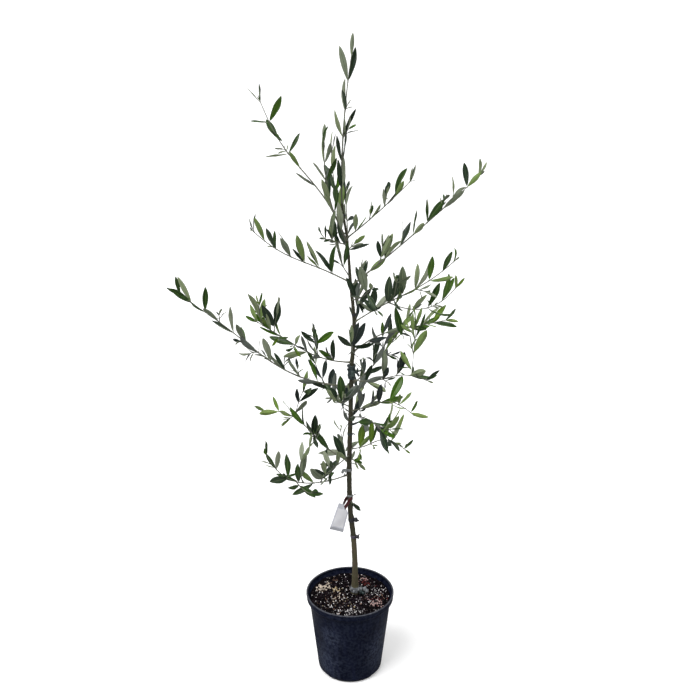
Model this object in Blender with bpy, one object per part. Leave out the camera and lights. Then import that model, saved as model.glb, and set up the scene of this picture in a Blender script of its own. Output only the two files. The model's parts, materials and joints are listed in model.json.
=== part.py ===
"""A young olive tree in a black nursery pot.

Metres, +Z up. The origin is the centre of the pot's flat underside. The trunk stands in the soil and
runs up to the leader. Shoots leave it on every side: a long one has a bare bough and then a spray, which
is the leafy rest of it, and a short one is a spray alone. Every spray is one closed solid.
"""

import math
import random
from typing import NamedTuple

import bmesh
import bpy
import numpy as np
from mathutils import Euler, Matrix, Vector

PLANT = "olive_in_pot"
UP = Vector((0, 0, 1))
GAP = 0.0003

# Pot
POT_HEIGHT = 0.216
RIM_RADIUS = 0.108
BODY_RADIUS = 0.1003
HIP_RADIUS = 0.0796
HIP_HEIGHT = 0.009
FOOT_RADIUS = 0.0740
WALL = 0.0022
FLOOR = 0.003
COLLAR_DROP = 0.017
CORNER = 0.0018
LIP = 0.0042
POT_SIDES = 36
NOTCHES = 3
NOTCH_WIDTH = 0.044
NOTCH_HEIGHT = 0.008
NOTCH_DEPTH = 0.008

# Soil
SOIL_TOP = 0.202
SOIL_ROUGHNESS = 0.0022
SOIL_LEVEL_PATCH = 0.020
SOIL_RINGS = 5
SOIL_SEED = 4

# Trunk: how far its middle stands to the right of the pot's and behind it, height by height
TRUNK_LINE = (
    (SOIL_TOP, 0.0124, 0.0140),
    (0.290, 0.0120, 0.0115),
    (0.368, 0.0080, 0.0080),
    (0.440, 0.0008, 0.0040),
    (0.560, -0.0018, -0.003),
    (0.700, 0.0014, -0.004),
    (0.800, 0.0036, 0.001),
    (0.915, 0.0090, 0.004),
    (1.010, 0.0010, 0.003),
    (1.100, -0.0056, -0.002),
    (1.185, -0.0176, -0.003),
)
TRUNK_GIRTHS = (
    (SOIL_TOP, 0.0076),
    (0.320, 0.0066),
    (0.600, 0.0056),
    (0.850, 0.0045),
    (1.050, 0.0031),
    (1.185, 0.0021),
)
TRUNK_FLARE = 0.0032
FLARE_HEIGHT = 0.022
TRUNK_SIDES = 10
TRUNK_RINGS = 44

# Bands round the trunk: height of the middle, how tall, how thick, and how far the knot stands out
BANDS = {
    "foot_tape": (0.2130, 0.0160, 0.0016, 0.0110),
    "tie_lowest": (0.3660, 0.0080, 0.0011, 0.0052),
    "tie_low": (0.4140, 0.0120, 0.0013, 0.0060),
    "tie_under_tag": (0.4820, 0.0050, 0.0009, 0.0040),
    "tie_bow": (0.5525, 0.0070, 0.0014, 0.0048),
    "tie_middle": (0.6460, 0.0050, 0.0009, 0.0030),
    "tape_wrap": (0.7985, 0.0340, 0.0042, 0.0060),
    "tie_high": (0.9340, 0.0060, 0.0009, 0.0030),
    "tie_top": (1.1600, 0.0070, 0.0010, 0.0024),
}
BAND_SIDES = 12
KNOT_HEADING = -20
KNOT_SPREAD = 32

# Tag: a blank sleeve in front of the strap that is looped round the trunk
STRAP_HEIGHT = 0.4740
STRAP_WIDTH = 0.0044
STRAP_THICKNESS = 0.0009
STRAP_REACH = 0.0120
STRAP_DROP = 0.0230
STRAP_HEADING = 210
TAG_WIDTH = 0.0340
TAG_HEIGHT = 0.0745
TAG_THICKNESS = 0.0012
TAG_NECK = 0.32
TAG_SHOULDER = 0.72
TAG_LEAN = 13
TAG_FACING = 270
TAG_ASIDE = 0.0093
TAG_ABOVE_STRAP = 0.0123
TAG_SET_BACK = 0.0013

# Stems and leaves
STEM_TIP = 0.0008
STEM_SAG = 0.00025
BOUGH_SIDES = 6
STEM_SIDES = 3
FEWEST_RINGS = 4
LEAF_SECTIONS = (0.38, 0.76)
LEAF_WIDEST = 0.57
LEAF_FULLNESS = 0.95
LEAF_WIDTH = 0.228
LEAF_THICKNESS = 0.021
PETIOLE = 0.0004
SPACE = 0.085
LEAF_GONE = 0.06
HANGING = 1.6


class Shoot(NamedTuple):
    """One shoot. A foot is a height on the trunk or, with a parent, a share of the parent's length."""

    name: str
    foot: float
    heading: float
    reach: float
    rise: float
    bow: float
    sway: float
    bare: float
    pairs: int
    leaf: float
    seed: int
    parent: str = ""


SHOOTS = (
    Shoot("leader", 1.185, 30, 0.024, 0.304, -0.025, 0.000, 0.00, 6, 0.064, 763),
    Shoot("upright_left", 1.103, 225, 0.067, 0.220, 0.085, 0.000, 0.00, 6, 0.058, 547),
    Shoot("upright_back", 1.137, 115, 0.070, 0.150, 0.100, 0.000, 0.00, 4, 0.058, 196),
    Shoot("upper_left", 1.093, 160, 0.199, 0.300, -0.004, -0.030, 0.24, 7, 0.057, 564),
    Shoot("upper_right", 1.110, -40, 0.167, 0.144, 0.015, 0.000, 0.00, 5, 0.055, 589),
    Shoot("short_left", 1.095, 240, 0.092, 0.033, 0.010, 0.000, 0.00, 3, 0.057, 6),
    Shoot("back_high", 1.064, 92, 0.200, 0.105, 0.030, 0.000, 0.00, 5, 0.057, 331),
    Shoot("mid_left", 1.009, 200, 0.216, 0.133, 0.035, -0.016, 0.16, 7, 0.057, 188),
    Shoot("long_right", 1.000, 25, 0.321, 0.219, 0.010, 0.000, 0.10, 9, 0.058, 279),
    Shoot("long_right_riser", 0.210, 60, 0.015, 0.032, 0.080, 0.000, 0.00, 2, 0.055, 190, "long_right"),
    Shoot("rising_left", 1.022, 215, 0.035, 0.095, 0.095, 0.000, 0.00, 3, 0.055, 479),
    Shoot("front_high", 0.968, -75, 0.150, 0.070, 0.030, 0.000, 0.00, 4, 0.057, 293),
    Shoot("right_mid", 0.916, -20, 0.225, 0.163, 0.020, -0.013, 0.16, 7, 0.058, 646),
    Shoot("right_mid_lower", 0.350, -5, 0.145, 0.037, 0.209, 0.000, 0.00, 5, 0.057, 802, "right_mid"),
    Shoot("right_mid_riser", 0.390, 280, 0.036, 0.051, 0.055, 0.000, 0.00, 2, 0.056, 668, "right_mid"),
    Shoot("back_mid", 0.898, 84, 0.170, 0.090, 0.050, 0.000, 0.00, 5, 0.057, 488),
    Shoot("front_mid", 0.864, -92, 0.150, 0.055, 0.040, 0.000, 0.00, 4, 0.058, 666),
    Shoot("right_low", 0.845, 30, 0.256, 0.033, -0.066, -0.020, 0.14, 7, 0.055, 276),
    Shoot("left_mid", 0.821, 205, 0.225, 0.130, 0.063, 0.016, 0.14, 7, 0.058, 286),
    Shoot("left_mid_riser", 0.330, 120, 0.013, 0.047, 0.027, 0.000, 0.00, 3, 0.055, 222, "left_mid"),
    Shoot("left_mid_crown", 0.930, 150, 0.008, 0.042, 0.070, 0.000, 0.00, 2, 0.056, 779, "left_mid"),
    Shoot("left_mid_inner", 0.810, 300, 0.017, 0.045, -0.050, 0.000, 0.00, 2, 0.056, 702, "left_mid"),
    Shoot("right_thin", 0.768, 55, 0.237, 0.088, 0.059, 0.008, 0.16, 6, 0.057, 568),
    Shoot("right_thin_riser", 0.550, 120, 0.006, 0.037, 0.000, 0.000, 0.00, 2, 0.053, 355, "right_thin"),
    Shoot("right_fork", 0.779, -30, 0.190, 0.037, -0.031, 0.039, 0.16, 5, 0.055, 642),
    Shoot("right_fork_riser", 0.810, 20, 0.008, 0.119, 0.004, 0.000, 0.00, 4, 0.057, 804, "right_fork"),
    Shoot("right_fork_inner", 0.460, 250, 0.015, 0.045, 0.200, 0.000, 0.00, 2, 0.055, 898, "right_fork"),
    Shoot("long_left", 0.762, 170, 0.400, 0.200, 0.077, 0.028, 0.13, 11, 0.058, 16),
    Shoot("front_low", 0.738, -100, 0.160, 0.055, 0.040, 0.000, 0.00, 4, 0.058, 211),
    Shoot("left_inner", 0.714, 120, 0.170, 0.048, 0.145, 0.000, 0.00, 5, 0.057, 368),
    Shoot("back_low", 0.668, 80, 0.180, 0.070, 0.040, 0.000, 0.00, 5, 0.057, 604),
    Shoot("right_droop", 0.703, -45, 0.186, 0.053, -0.109, 0.037, 0.12, 6, 0.057, 107),
    Shoot("front_right", 0.684, -65, 0.195, 0.030, -0.110, 0.000, 0.12, 5, 0.058, 281),
    Shoot("front_right_riser", 0.860, -40, 0.018, 0.026, 0.000, 0.000, 0.00, 2, 0.053, 219, "front_right"),
    Shoot("low_right", 0.606, -35, 0.151, 0.042, -0.116, 0.051, 0.00, 5, 0.058, 456),
    Shoot("low_front", 0.590, 250, 0.156, 0.025, 0.000, 0.000, 0.00, 4, 0.061, 60),
    Shoot("low_left", 0.573, 155, 0.226, 0.086, -0.083, 0.057, 0.20, 6, 0.053, 259),
    Shoot("low_left_riser", 0.680, 320, 0.044, 0.103, -0.034, 0.000, 0.00, 4, 0.053, 333, "low_left"),
    Shoot("low_left_tuft", 0.470, 300, 0.028, 0.006, 0.200, 0.000, 0.00, 2, 0.053, 551, "low_left"),
    Shoot("low_back", 0.545, 98, 0.160, 0.035, 0.000, 0.000, 0.00, 4, 0.059, 893),
    Shoot("lowest_left", 0.540, 215, 0.223, 0.116, 0.181, -0.012, 0.18, 6, 0.059, 124),
    Shoot("lowest_left_riser", 0.480, 20, 0.016, 0.088, -0.164, 0.000, 0.00, 3, 0.058, 64, "lowest_left"),
    Shoot("lowest_left_hanger", 0.560, 300, 0.072, 0.005, 0.101, 0.000, 0.00, 2, 0.057, 22, "lowest_left"),
    Shoot("lowest_left_inner", 0.290, 300, 0.033, 0.060, 0.020, 0.000, 0.00, 2, 0.057, 380, "lowest_left"),
    Shoot("low_tuft", 0.584, 320, 0.012, -0.002, 0.000, 0.000, 0.00, 2, 0.040, 303),
    Shoot("foot_tuft", 0.470, 295, 0.010, -0.003, 0.000, 0.000, 0.00, 2, 0.044, 835),
)


def smooth_between(rows, height):
    """The other values of rows at this height, on a smooth curve through them all."""
    heights = [row[0] for row in rows]
    i = min(max(sum(h <= height for h in heights) - 1, 0), len(rows) - 2)
    before = rows[max(i - 1, 0)]
    after = rows[min(i + 2, len(rows) - 1)]
    low = rows[i]
    high = rows[i + 1]
    span = high[0] - low[0]
    t = (height - low[0]) / span
    values = []
    for column in range(1, len(low)):
        leave = (high[column] - before[column]) / (high[0] - before[0]) * span
        arrive = (after[column] - low[column]) / (after[0] - low[0]) * span
        values.append(
            (2 * t**3 - 3 * t**2 + 1) * low[column]
            + (t**3 - 2 * t**2 + t) * leave
            + (3 * t**2 - 2 * t**3) * high[column]
            + (t**3 - t**2) * arrive
        )
    return values


def trunk_middle(height):
    right, behind = smooth_between(TRUNK_LINE, height)
    return Vector((right, behind, height))


def trunk_radius(height):
    flare = TRUNK_FLARE * math.exp(-(height - SOIL_TOP) / FLARE_HEIGHT)
    return smooth_between(TRUNK_GIRTHS, height)[0] + flare


def circle(middle, across, over, radius, sides):
    """Points round a middle, the first of them straight over it."""
    angles = [2 * math.pi * i / sides for i in range(sides)]
    return [middle + (across * math.sin(a) + over * math.cos(a)) * radius for a in angles]


def square_to(direction):
    """A level and an upward direction, both square to this one."""
    across = direction.cross(UP)
    if across.length < 0.05:
        across = direction.cross(Vector((0, 1, 0)))
    across.normalize()
    return across, across.cross(direction).normalized()


def band_section(angle, height, tall, inner, outer):
    out = Vector((math.cos(angle), math.sin(angle), 0))
    low = trunk_middle(height - tall / 2)
    high = trunk_middle(height + tall / 2)
    return [low + out * inner, low + out * outer, high + out * outer, high + out * inner]


def strap_rings():
    """Sections of a strap that rests on the trunk behind and is pulled out and down in front."""
    rings = []
    snug = (trunk_radius(STRAP_HEIGHT) + GAP) / math.cos(math.pi / BAND_SIDES)
    for i in range(BAND_SIDES):
        angle = 2 * math.pi * i / BAND_SIDES
        pull = max(0.0, math.cos(angle - math.radians(STRAP_HEADING))) ** 5
        height = STRAP_HEIGHT - STRAP_DROP * pull
        inner = snug + STRAP_REACH * pull
        rings.append(band_section(angle, height, STRAP_WIDTH, inner, inner + STRAP_THICKNESS))
    return rings


def tag_place():
    """Where the middle of the tag's top edge hangs, and how the tag is turned."""
    facing = Vector((math.cos(math.radians(TAG_FACING)), math.sin(math.radians(TAG_FACING)), 0))
    aside = facing.cross(UP)
    points = [point for ring in strap_rings() for point in ring]
    front = max(points, key=lambda point: point.dot(facing))
    place = front - facing * TAG_SET_BACK + aside * TAG_ASIDE
    place.z = STRAP_HEIGHT - STRAP_DROP + TAG_ABOVE_STRAP
    return place, Euler((0, math.radians(TAG_LEAN), math.radians(TAG_FACING - 270))).to_matrix()


class Stem:
    """The line that a shoot's wood follows, with its thickness."""

    def __init__(self, shoot, stems):
        heading = math.radians(shoot.heading)
        self.shoot = shoot
        self.out = Vector((math.cos(heading), math.sin(heading), 0))
        self.length = math.hypot(shoot.reach, shoot.rise)
        self.sag = (self.out * shoot.rise - UP * shoot.reach) / self.length
        if shoot.parent:
            parent = stems[shoot.parent]
            self.start = parent.point(shoot.foot)
            self.thick = parent.radius(shoot.foot) * 0.85
        else:
            self.start = trunk_middle(shoot.foot)
            self.thick = 0.0011 + 0.0021 * self.length
        if shoot.name == "leader":
            self.thick = trunk_radius(shoot.foot)

    def point(self, t):
        line = self.out * self.shoot.reach * t + UP * self.shoot.rise * t
        bend = 4 * self.shoot.bow * t * (1 - t) + self.shoot.sway * math.sin(2 * math.pi * t)
        return self.start + line + self.sag * bend * self.length

    def along(self, t):
        return (self.point(t + 0.01) - self.point(t - 0.01)).normalized()

    def radius(self, t):
        return STEM_TIP + (self.thick - STEM_TIP) * (1 - t) ** 0.8

    def ring(self, t, sides):
        across = self.out.cross(UP)
        return circle(self.point(t), across, across.cross(self.along(t)), self.radius(t), sides)

    def first_leaf(self):
        """The share of the length at which the lowest pair of leaves stands."""
        start = 0.012 if self.shoot.parent else 0.03
        return max(self.shoot.bare + 0.03, min(start / self.length, 0.7))


class Leaf(NamedTuple):
    root: Vector
    direction: Vector
    face: Vector
    length: float
    width: float
    curl: float

    def middle(self, s):
        """The midrib at a share s of the length: an arc that bends towards the leaf's face."""
        turn = self.curl * s
        ahead = math.sin(turn) / self.curl
        aside = (1 - math.cos(turn)) / self.curl
        return self.root + (self.direction * ahead + self.face * aside) * self.length

    def half_width(self, s):
        return self.width / 2 * math.sin(math.pi * s**1.25) ** 0.85

    def section(self, s, half, keel):
        """The two edges of the blade at a share s of its length, and the keel under its midrib."""
        turn = self.curl * s
        up = self.face * math.cos(turn) - self.direction * math.sin(turn)
        side = self.direction.cross(self.face) * half
        return [self.middle(s) - side, self.middle(s) + side, self.middle(s) - up * keel]

    def balls(self):
        """Centres and radii that hold the whole blade."""
        shares = (0.25, 0.37, 0.49, 0.61, 0.72, 0.82, 0.91, 1.0)
        centres = [self.middle(s) for s in shares]
        return centres, [max(self.half_width(min(s, 0.97)), 0.002) + GAP for s in shares]


def leaves_on(stem):
    """Every leaf that the shoot would carry: pairs, each turned a quarter round from the last."""
    shoot = stem.shoot
    rng = random.Random(shoot.seed)
    first = stem.first_leaf()
    phase = rng.uniform(0, 180)
    upturn = rng.uniform(-0.4, 1.4) - (HANGING if shoot.rise < 0 else 0)
    for k in range(shoot.pairs):
        t = first + (0.985 - first) * (k / (shoot.pairs - 1)) ** 0.95
        if 0 < k < shoot.pairs - 1:
            t += rng.uniform(-0.12, 0.12) / shoot.pairs
        root = stem.point(t)
        along = stem.along(t)
        across, over = square_to(along)
        spin = phase + 90 * k + rng.gauss(0, 14)
        last = k == shoot.pairs - 1
        for side in (0, 180):
            around = math.radians(spin + side + rng.uniform(-12, 12))
            out = across * math.cos(around) + over * math.sin(around)
            opening = math.radians(rng.uniform(14, 30) if last else rng.uniform(26, 62))
            lift = UP * (upturn + rng.gauss(0, 0.3))
            direction = (along * math.cos(opening) + out * math.sin(opening) + lift).normalized()
            level, over_leaf = square_to(direction)
            roll = math.radians(rng.uniform(-90, 90))
            face = (over_leaf * math.cos(roll) + level * math.sin(roll)).normalized()
            length = shoot.leaf * rng.uniform(0.72, 1.20) * (0.72 if last else 1.0)
            width = length * LEAF_WIDTH * rng.uniform(0.76, 1.26)
            curl = math.copysign(rng.uniform(0.12, 0.8), face.z + rng.gauss(0, 0.3))
            gone = rng.random() < LEAF_GONE and not last
            if not gone:
                yield Leaf(root, direction, face, length, width, curl)


class Taken:
    """The room already used, as balls with the name of the mass or limb that each belongs to."""

    def __init__(self):
        self.centres = np.zeros((0, 3))
        self.radii = np.zeros(0)
        self.owners = []

    def add(self, centres, radii, owner):
        self.centres = np.vstack([self.centres, np.array([tuple(c) for c in centres])])
        self.radii = np.append(self.radii, radii)
        self.owners += [owner] * len(radii)

    def clear(self, centres, radii, owner):
        others = np.array([name != owner for name in self.owners])
        if not others.any():
            return True
        points = np.array([tuple(c) for c in centres])
        apart = np.linalg.norm(points[:, None] - self.centres[others][None], axis=2)
        return bool((apart > np.array(radii)[:, None] + self.radii[others][None]).all())


def mass_of(shoot):
    return shoot.parent or shoot.name


def take_limbs(taken, stems):
    for height, tall, thick, knot in BANDS.values():
        reach = trunk_radius(height) + thick + knot
        taken.add([trunk_middle(height)], [max(reach, tall / 2) + GAP], "trunk")
    place, turn = tag_place()
    shares = np.linspace(0.1, 0.9, 5)
    centres = [place + turn @ Vector((0, 0, -TAG_HEIGHT * share)) for share in shares]
    taken.add(centres, [TAG_WIDTH / 2] * len(shares), "trunk")
    steps = 120
    for i in range(steps + 1):
        height = SOIL_TOP + (TRUNK_LINE[-1][0] - SOIL_TOP) * i / steps
        taken.add([trunk_middle(height)], [trunk_radius(height) + GAP], "trunk")
    for stem in stems.values():
        shares = np.linspace(0.03, 1, max(8, int(stem.length / 0.005)))
        centres = [stem.point(t) for t in shares]
        taken.add(centres, [stem.radius(t) + GAP for t in shares], mass_of(stem.shoot))


def grown_leaves(stems):
    """Each stem's leaves, without those that would leave its space or touch another limb or mass."""
    taken = Taken()
    take_limbs(taken, stems)
    grown = {}
    for name, stem in stems.items():
        kept = []
        for leaf in leaves_on(stem):
            centres, radii = leaf.balls()
            inside = (leaf.middle(1) - leaf.root).length < SPACE
            if inside and taken.clear(centres, radii, mass_of(stem.shoot)):
                taken.add(centres, radii, mass_of(stem.shoot))
                kept.append(leaf)
        grown[name] = kept
    return grown


def all_stems():
    stems = {}
    for shoot in SHOOTS:
        stems[shoot.name] = Stem(shoot, stems)
    return stems


def skin(rings, looped=False):
    """A closed mesh over rings of points. A ring of one point ends it in a tip, and others get a cap."""
    bm = bmesh.new()
    loops = [[bm.verts.new(point) for point in ring] for ring in rings]
    nexts = loops[1:] + loops[:1] if looped else loops[1:]
    for low, high in zip(loops, nexts):
        for i in range(max(len(low), len(high))):
            near = [low[i % len(low)], low[(i + 1) % len(low)]]
            far = [high[(i + 1) % len(high)], high[i % len(high)]]
            bm.faces.new(list(dict.fromkeys(near + far)))
    for end in () if looped else (loops[0], loops[-1]):
        if len(end) > 2:
            bm.faces.new(end)
    bmesh.ops.recalc_face_normals(bm, faces=bm.faces)
    return bm


def add_object(name, bm, material, at):
    """An object with its origin at this place, under the empty that carries the whole plant."""
    bmesh.ops.translate(bm, verts=bm.verts, vec=-at)
    mesh = bpy.data.meshes.new(name)
    bm.to_mesh(mesh)
    bm.free()
    mesh.materials.append(material)
    obj = bpy.data.objects.new(name, mesh)
    obj.location = at
    obj.parent = bpy.data.objects[PLANT]
    bpy.context.scene.collection.objects.link(obj)
    return obj


def add_material(name, colour, roughness):
    material = bpy.data.materials.new(name)
    material.use_nodes = True
    surface = material.node_tree.nodes["Principled BSDF"]
    surface.inputs["Base Color"].default_value = (*colour, 1)
    surface.inputs["Roughness"].default_value = roughness
    surface.inputs["Metallic"].default_value = 0
    return material


def closed(mesh):
    bm = bmesh.new()
    bm.from_mesh(mesh)
    whole = all(edge.is_manifold for edge in bm.edges)
    bm.free()
    return whole


def add_fused(name, pieces, material, at):
    """One closed solid from pieces that run into each other."""
    obj = add_object(name, pieces[0], material, at)
    extras = bpy.data.collections.new(name + "_pieces")
    bpy.context.scene.collection.children.link(extras)
    for bm in pieces[1:]:
        extra = add_object(name + "_piece", bm, material, at)
        bpy.context.scene.collection.objects.unlink(extra)
        extras.objects.link(extra)
    union = obj.modifiers.new("union", "BOOLEAN")
    union.operation = "UNION"
    union.operand_type = "COLLECTION"
    union.collection = extras
    for solver in ("EXACT", "MANIFOLD"):
        union.solver = solver
        graph = bpy.context.evaluated_depsgraph_get()
        whole = bpy.data.meshes.new_from_object(obj.evaluated_get(graph))
        if closed(whole):
            break
    obj.modifiers.clear()
    obj.data = whole
    for extra in list(extras.objects):
        bpy.data.objects.remove(extra)
    bpy.data.collections.remove(extras)
    return obj


def inner_radius(height):
    """Half the width inside the pot at a height below its collar."""
    low = FOOT_RADIUS - WALL
    high = BODY_RADIUS - WALL
    return low + (high - low) * (height - FLOOR) / (POT_HEIGHT - COLLAR_DROP - FLOOR)


def add_pot(material):
    """A turned pot with a stepped collar, and slots cut in the edge of its foot to let water out."""
    ledge = POT_HEIGHT - COLLAR_DROP
    profile = (
        (0, FLOOR),
        (inner_radius(FLOOR), FLOOR),
        (inner_radius(ledge), ledge),
        (RIM_RADIUS - WALL - CORNER / 2, ledge + 2 * CORNER),
        (RIM_RADIUS - WALL, POT_HEIGHT - 2 * LIP),
        (RIM_RADIUS - LIP, POT_HEIGHT - LIP / 2),
        (RIM_RADIUS - LIP / 2, POT_HEIGHT),
        (RIM_RADIUS, POT_HEIGHT - CORNER / 2),
        (RIM_RADIUS - CORNER / 2, ledge + CORNER / 2),
        (RIM_RADIUS - CORNER, ledge),
        (BODY_RADIUS + CORNER / 2, ledge),
        (BODY_RADIUS, ledge - CORNER / 2),
        (HIP_RADIUS, HIP_HEIGHT),
        (FOOT_RADIUS, 0),
        (0, 0),
    )
    bm = bmesh.new()
    verts = [bm.verts.new((radius, 0, height)) for radius, height in profile]
    for start, end in zip(verts, verts[1:]):
        bm.edges.new((start, end))
    pot = add_object("pot", bm, material, Vector((0, 0, 0)))
    turn = pot.modifiers.new("turn", "SCREW")
    turn.steps = POT_SIDES
    turn.render_steps = POT_SIDES
    turn.use_merge_vertices = True
    turn.merge_threshold = 0.00001
    slots = bmesh.new()
    for i in range(NOTCHES):
        place = Matrix.Rotation(2 * math.pi * (i + 0.75) / NOTCHES, 4, "Z")
        place = place @ Matrix.Translation((FOOT_RADIUS, 0, 0))
        place = place @ Matrix.Diagonal((2 * NOTCH_DEPTH, NOTCH_WIDTH, 2 * NOTCH_HEIGHT, 1))
        bmesh.ops.create_cube(slots, size=1, matrix=place)
    cutter = add_object("slot_cutter", slots, material, Vector((0, 0, 0)))
    cutter.hide_render = True
    cutter.display_type = "WIRE"
    cut = pot.modifiers.new("slots", "BOOLEAN")
    cut.operation = "DIFFERENCE"
    cut.object = cutter


def add_soil(material):
    """Soil that fills the pot: uneven on top, and level where the trunk stands."""
    rng = random.Random(SOIL_SEED)
    foot = trunk_middle(SOIL_TOP)
    rings = [[Vector((0, 0, SOIL_TOP))]]
    for i in range(1, SOIL_RINGS + 1):
        radius = (inner_radius(SOIL_TOP) - GAP) * i / SOIL_RINGS
        ring = circle(Vector((0, 0, SOIL_TOP)), Vector((1, 0, 0)), Vector((0, 1, 0)), radius, POT_SIDES)
        for point in ring:
            away = (point - foot).length - SOIL_LEVEL_PATCH
            bump = rng.uniform(-SOIL_ROUGHNESS, SOIL_ROUGHNESS if i < SOIL_RINGS else 0)
            point.z += bump * min(max(away / SOIL_LEVEL_PATCH, 0), 1)
        rings.append(ring)
    floor = Vector((0, 0, FLOOR + GAP))
    radius = inner_radius(floor.z) - GAP
    rings.append(circle(floor, Vector((1, 0, 0)), Vector((0, 1, 0)), radius, POT_SIDES))
    add_object("soil", skin(rings), material, Vector((0, 0, SOIL_TOP)))


def add_trunk(material):
    """Level rings from a flat foot on the soil to a flat tip, closest together in the flare."""
    foot = SOIL_TOP + GAP
    tip = TRUNK_LINE[-1][0]
    rings = []
    for i in range(TRUNK_RINGS + 1):
        height = foot + (tip - foot) * (i / TRUNK_RINGS) ** 1.2
        middle = trunk_middle(height)
        rings.append(circle(middle, Vector((1, 0, 0)), Vector((0, 1, 0)), trunk_radius(height), TRUNK_SIDES))
    trunk = add_object("trunk", skin(rings), material, trunk_middle(foot))
    trunk.data.shade_smooth()


def inside_trunk(point):
    return math.dist(point.xy, trunk_middle(point.z).xy) < trunk_radius(point.z)


def seated(point, along):
    """The point moved along a limb until it lies a gap away from the trunk's bark."""
    for _ in range(12):
        out = point - trunk_middle(point.z)
        apart = math.hypot(out.x, out.y)
        short = trunk_radius(point.z) + GAP - apart
        point = point + along * (short * apart / (along.x * out.x + along.y * out.y))
    return point


def limb_rings(stem, start, end, sides):
    """Rings along a stem between two shares of its length. One that starts at 0 is fitted to the trunk."""
    rings = []
    if start == 0 and not stem.shoot.parent and stem.shoot.name != "leader":
        while inside_trunk(stem.point(start)):
            start += 0.001 / stem.length
        along = stem.along(start)
        foot = [seated(point, along) for point in stem.ring(start, sides)]
        rings = [[seated(stem.point(start), along)], foot]
        start += max((point - stem.point(start)).dot(along) for point in foot) / stem.length
        start += 0.002 / stem.length
    curve = (abs(stem.shoot.bow) + 5 * abs(stem.shoot.sway)) * stem.length
    count = max(FEWEST_RINGS, math.ceil((end - start) * math.sqrt(curve / STEM_SAG)) + 1)
    return rings + [stem.ring(t, sides) for t in np.linspace(start, end, count)]


def leaf_solid(leaf):
    """A blade with a sharp outline and a keel, from a small root inside the twig to a pointed tip."""
    half = leaf.half_width(LEAF_WIDEST) * LEAF_FULLNESS
    keel = LEAF_THICKNESS * leaf.length
    rings = [leaf.section(0, PETIOLE, PETIOLE)]
    rings += [leaf.section(s, half, keel) for s in LEAF_SECTIONS]
    return skin(rings + [[leaf.middle(1)]])


def add_bough(stem, material):
    rings = limb_rings(stem, 0, stem.shoot.bare, BOUGH_SIDES)
    bough = add_object("bough_" + stem.shoot.name, skin(rings), material, rings[0][0])
    bough.data.shade_smooth()


def add_spray(stem, side_stems, grown, material):
    """The leafy part of a shoot, with its side twigs, as one solid."""
    shoot = stem.shoot
    start = shoot.bare and shoot.bare + GAP / stem.length
    if shoot.name == "leader":
        start = GAP / stem.length
    rings = limb_rings(stem, start, 1, STEM_SIDES)
    pieces = [skin(rings)]
    pieces += [skin(limb_rings(side, 0, 1, STEM_SIDES)) for side in side_stems]
    for twig in [stem] + side_stems:
        pieces += [leaf_solid(leaf) for leaf in grown[twig.shoot.name]]
    add_fused("spray_" + shoot.name, pieces, material, rings[0][0])


def add_bands(material):
    for name, (height, tall, thick, knot) in BANDS.items():
        snug = (trunk_radius(height - tall / 2) + GAP) / math.cos(math.pi / BAND_SIDES)
        rings = []
        for i in range(BAND_SIDES):
            angle = 2 * math.pi * i / BAND_SIDES
            off = (math.degrees(angle) - KNOT_HEADING + 180) % 360 - 180
            lump = knot * math.exp(-((off / KNOT_SPREAD) ** 2))
            rings.append(band_section(angle, height, tall, snug, snug + thick + lump))
        add_object(name, skin(rings, looped=True), material, trunk_middle(height))


def add_tag(strap_material, tag_material):
    add_object("strap", skin(strap_rings(), looped=True), strap_material, trunk_middle(STRAP_HEIGHT))
    shoulder = TAG_HEIGHT * (TAG_SHOULDER - 1)
    outline = (
        (-TAG_WIDTH / 2, -TAG_HEIGHT),
        (TAG_WIDTH / 2, -TAG_HEIGHT),
        (TAG_WIDTH / 2, shoulder),
        (0, 0),
        (-TAG_WIDTH * TAG_NECK, 0),
    )
    faces = [[Vector((x, y, z)) for x, z in outline] for y in (0, -TAG_THICKNESS)]
    place, turn = tag_place()
    tag = add_object("tag", skin(faces), tag_material, Vector((0, 0, 0)))
    tag.location = place
    tag.rotation_euler = turn.to_euler()


def main():
    for obj in list(bpy.data.objects):
        bpy.data.objects.remove(obj)
    bpy.context.scene.collection.objects.link(bpy.data.objects.new(PLANT, None))
    stems = all_stems()
    grown = grown_leaves(stems)
    add_pot(add_material("black_plastic", (0.016, 0.018, 0.026), 0.5))
    add_soil(add_material("soil", (0.035, 0.024, 0.017), 0.95))
    bark = add_material("bark", (0.16, 0.13, 0.09), 0.85)
    add_trunk(bark)
    foliage = add_material("foliage", (0.13, 0.17, 0.09), 0.5)
    for name, stem in stems.items():
        if stem.shoot.bare:
            add_bough(stem, bark)
        if not stem.shoot.parent:
            side_stems = [side for side in stems.values() if side.shoot.parent == name]
            add_spray(stem, side_stems, grown, foliage)
    add_bands(add_material("tie_tape", (0.05, 0.06, 0.07), 0.6))
    strap = add_material("strap_plastic", (0.16, 0.02, 0.02), 0.45)
    add_tag(strap, add_material("tag_plastic", (0.80, 0.80, 0.80), 0.4))


if __name__ == "__main__":
    main()
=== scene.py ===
import json
import math
import random
from typing import NamedTuple

import bmesh
import bpy
import numpy as np
from mathutils import Euler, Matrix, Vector, noise

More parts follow.
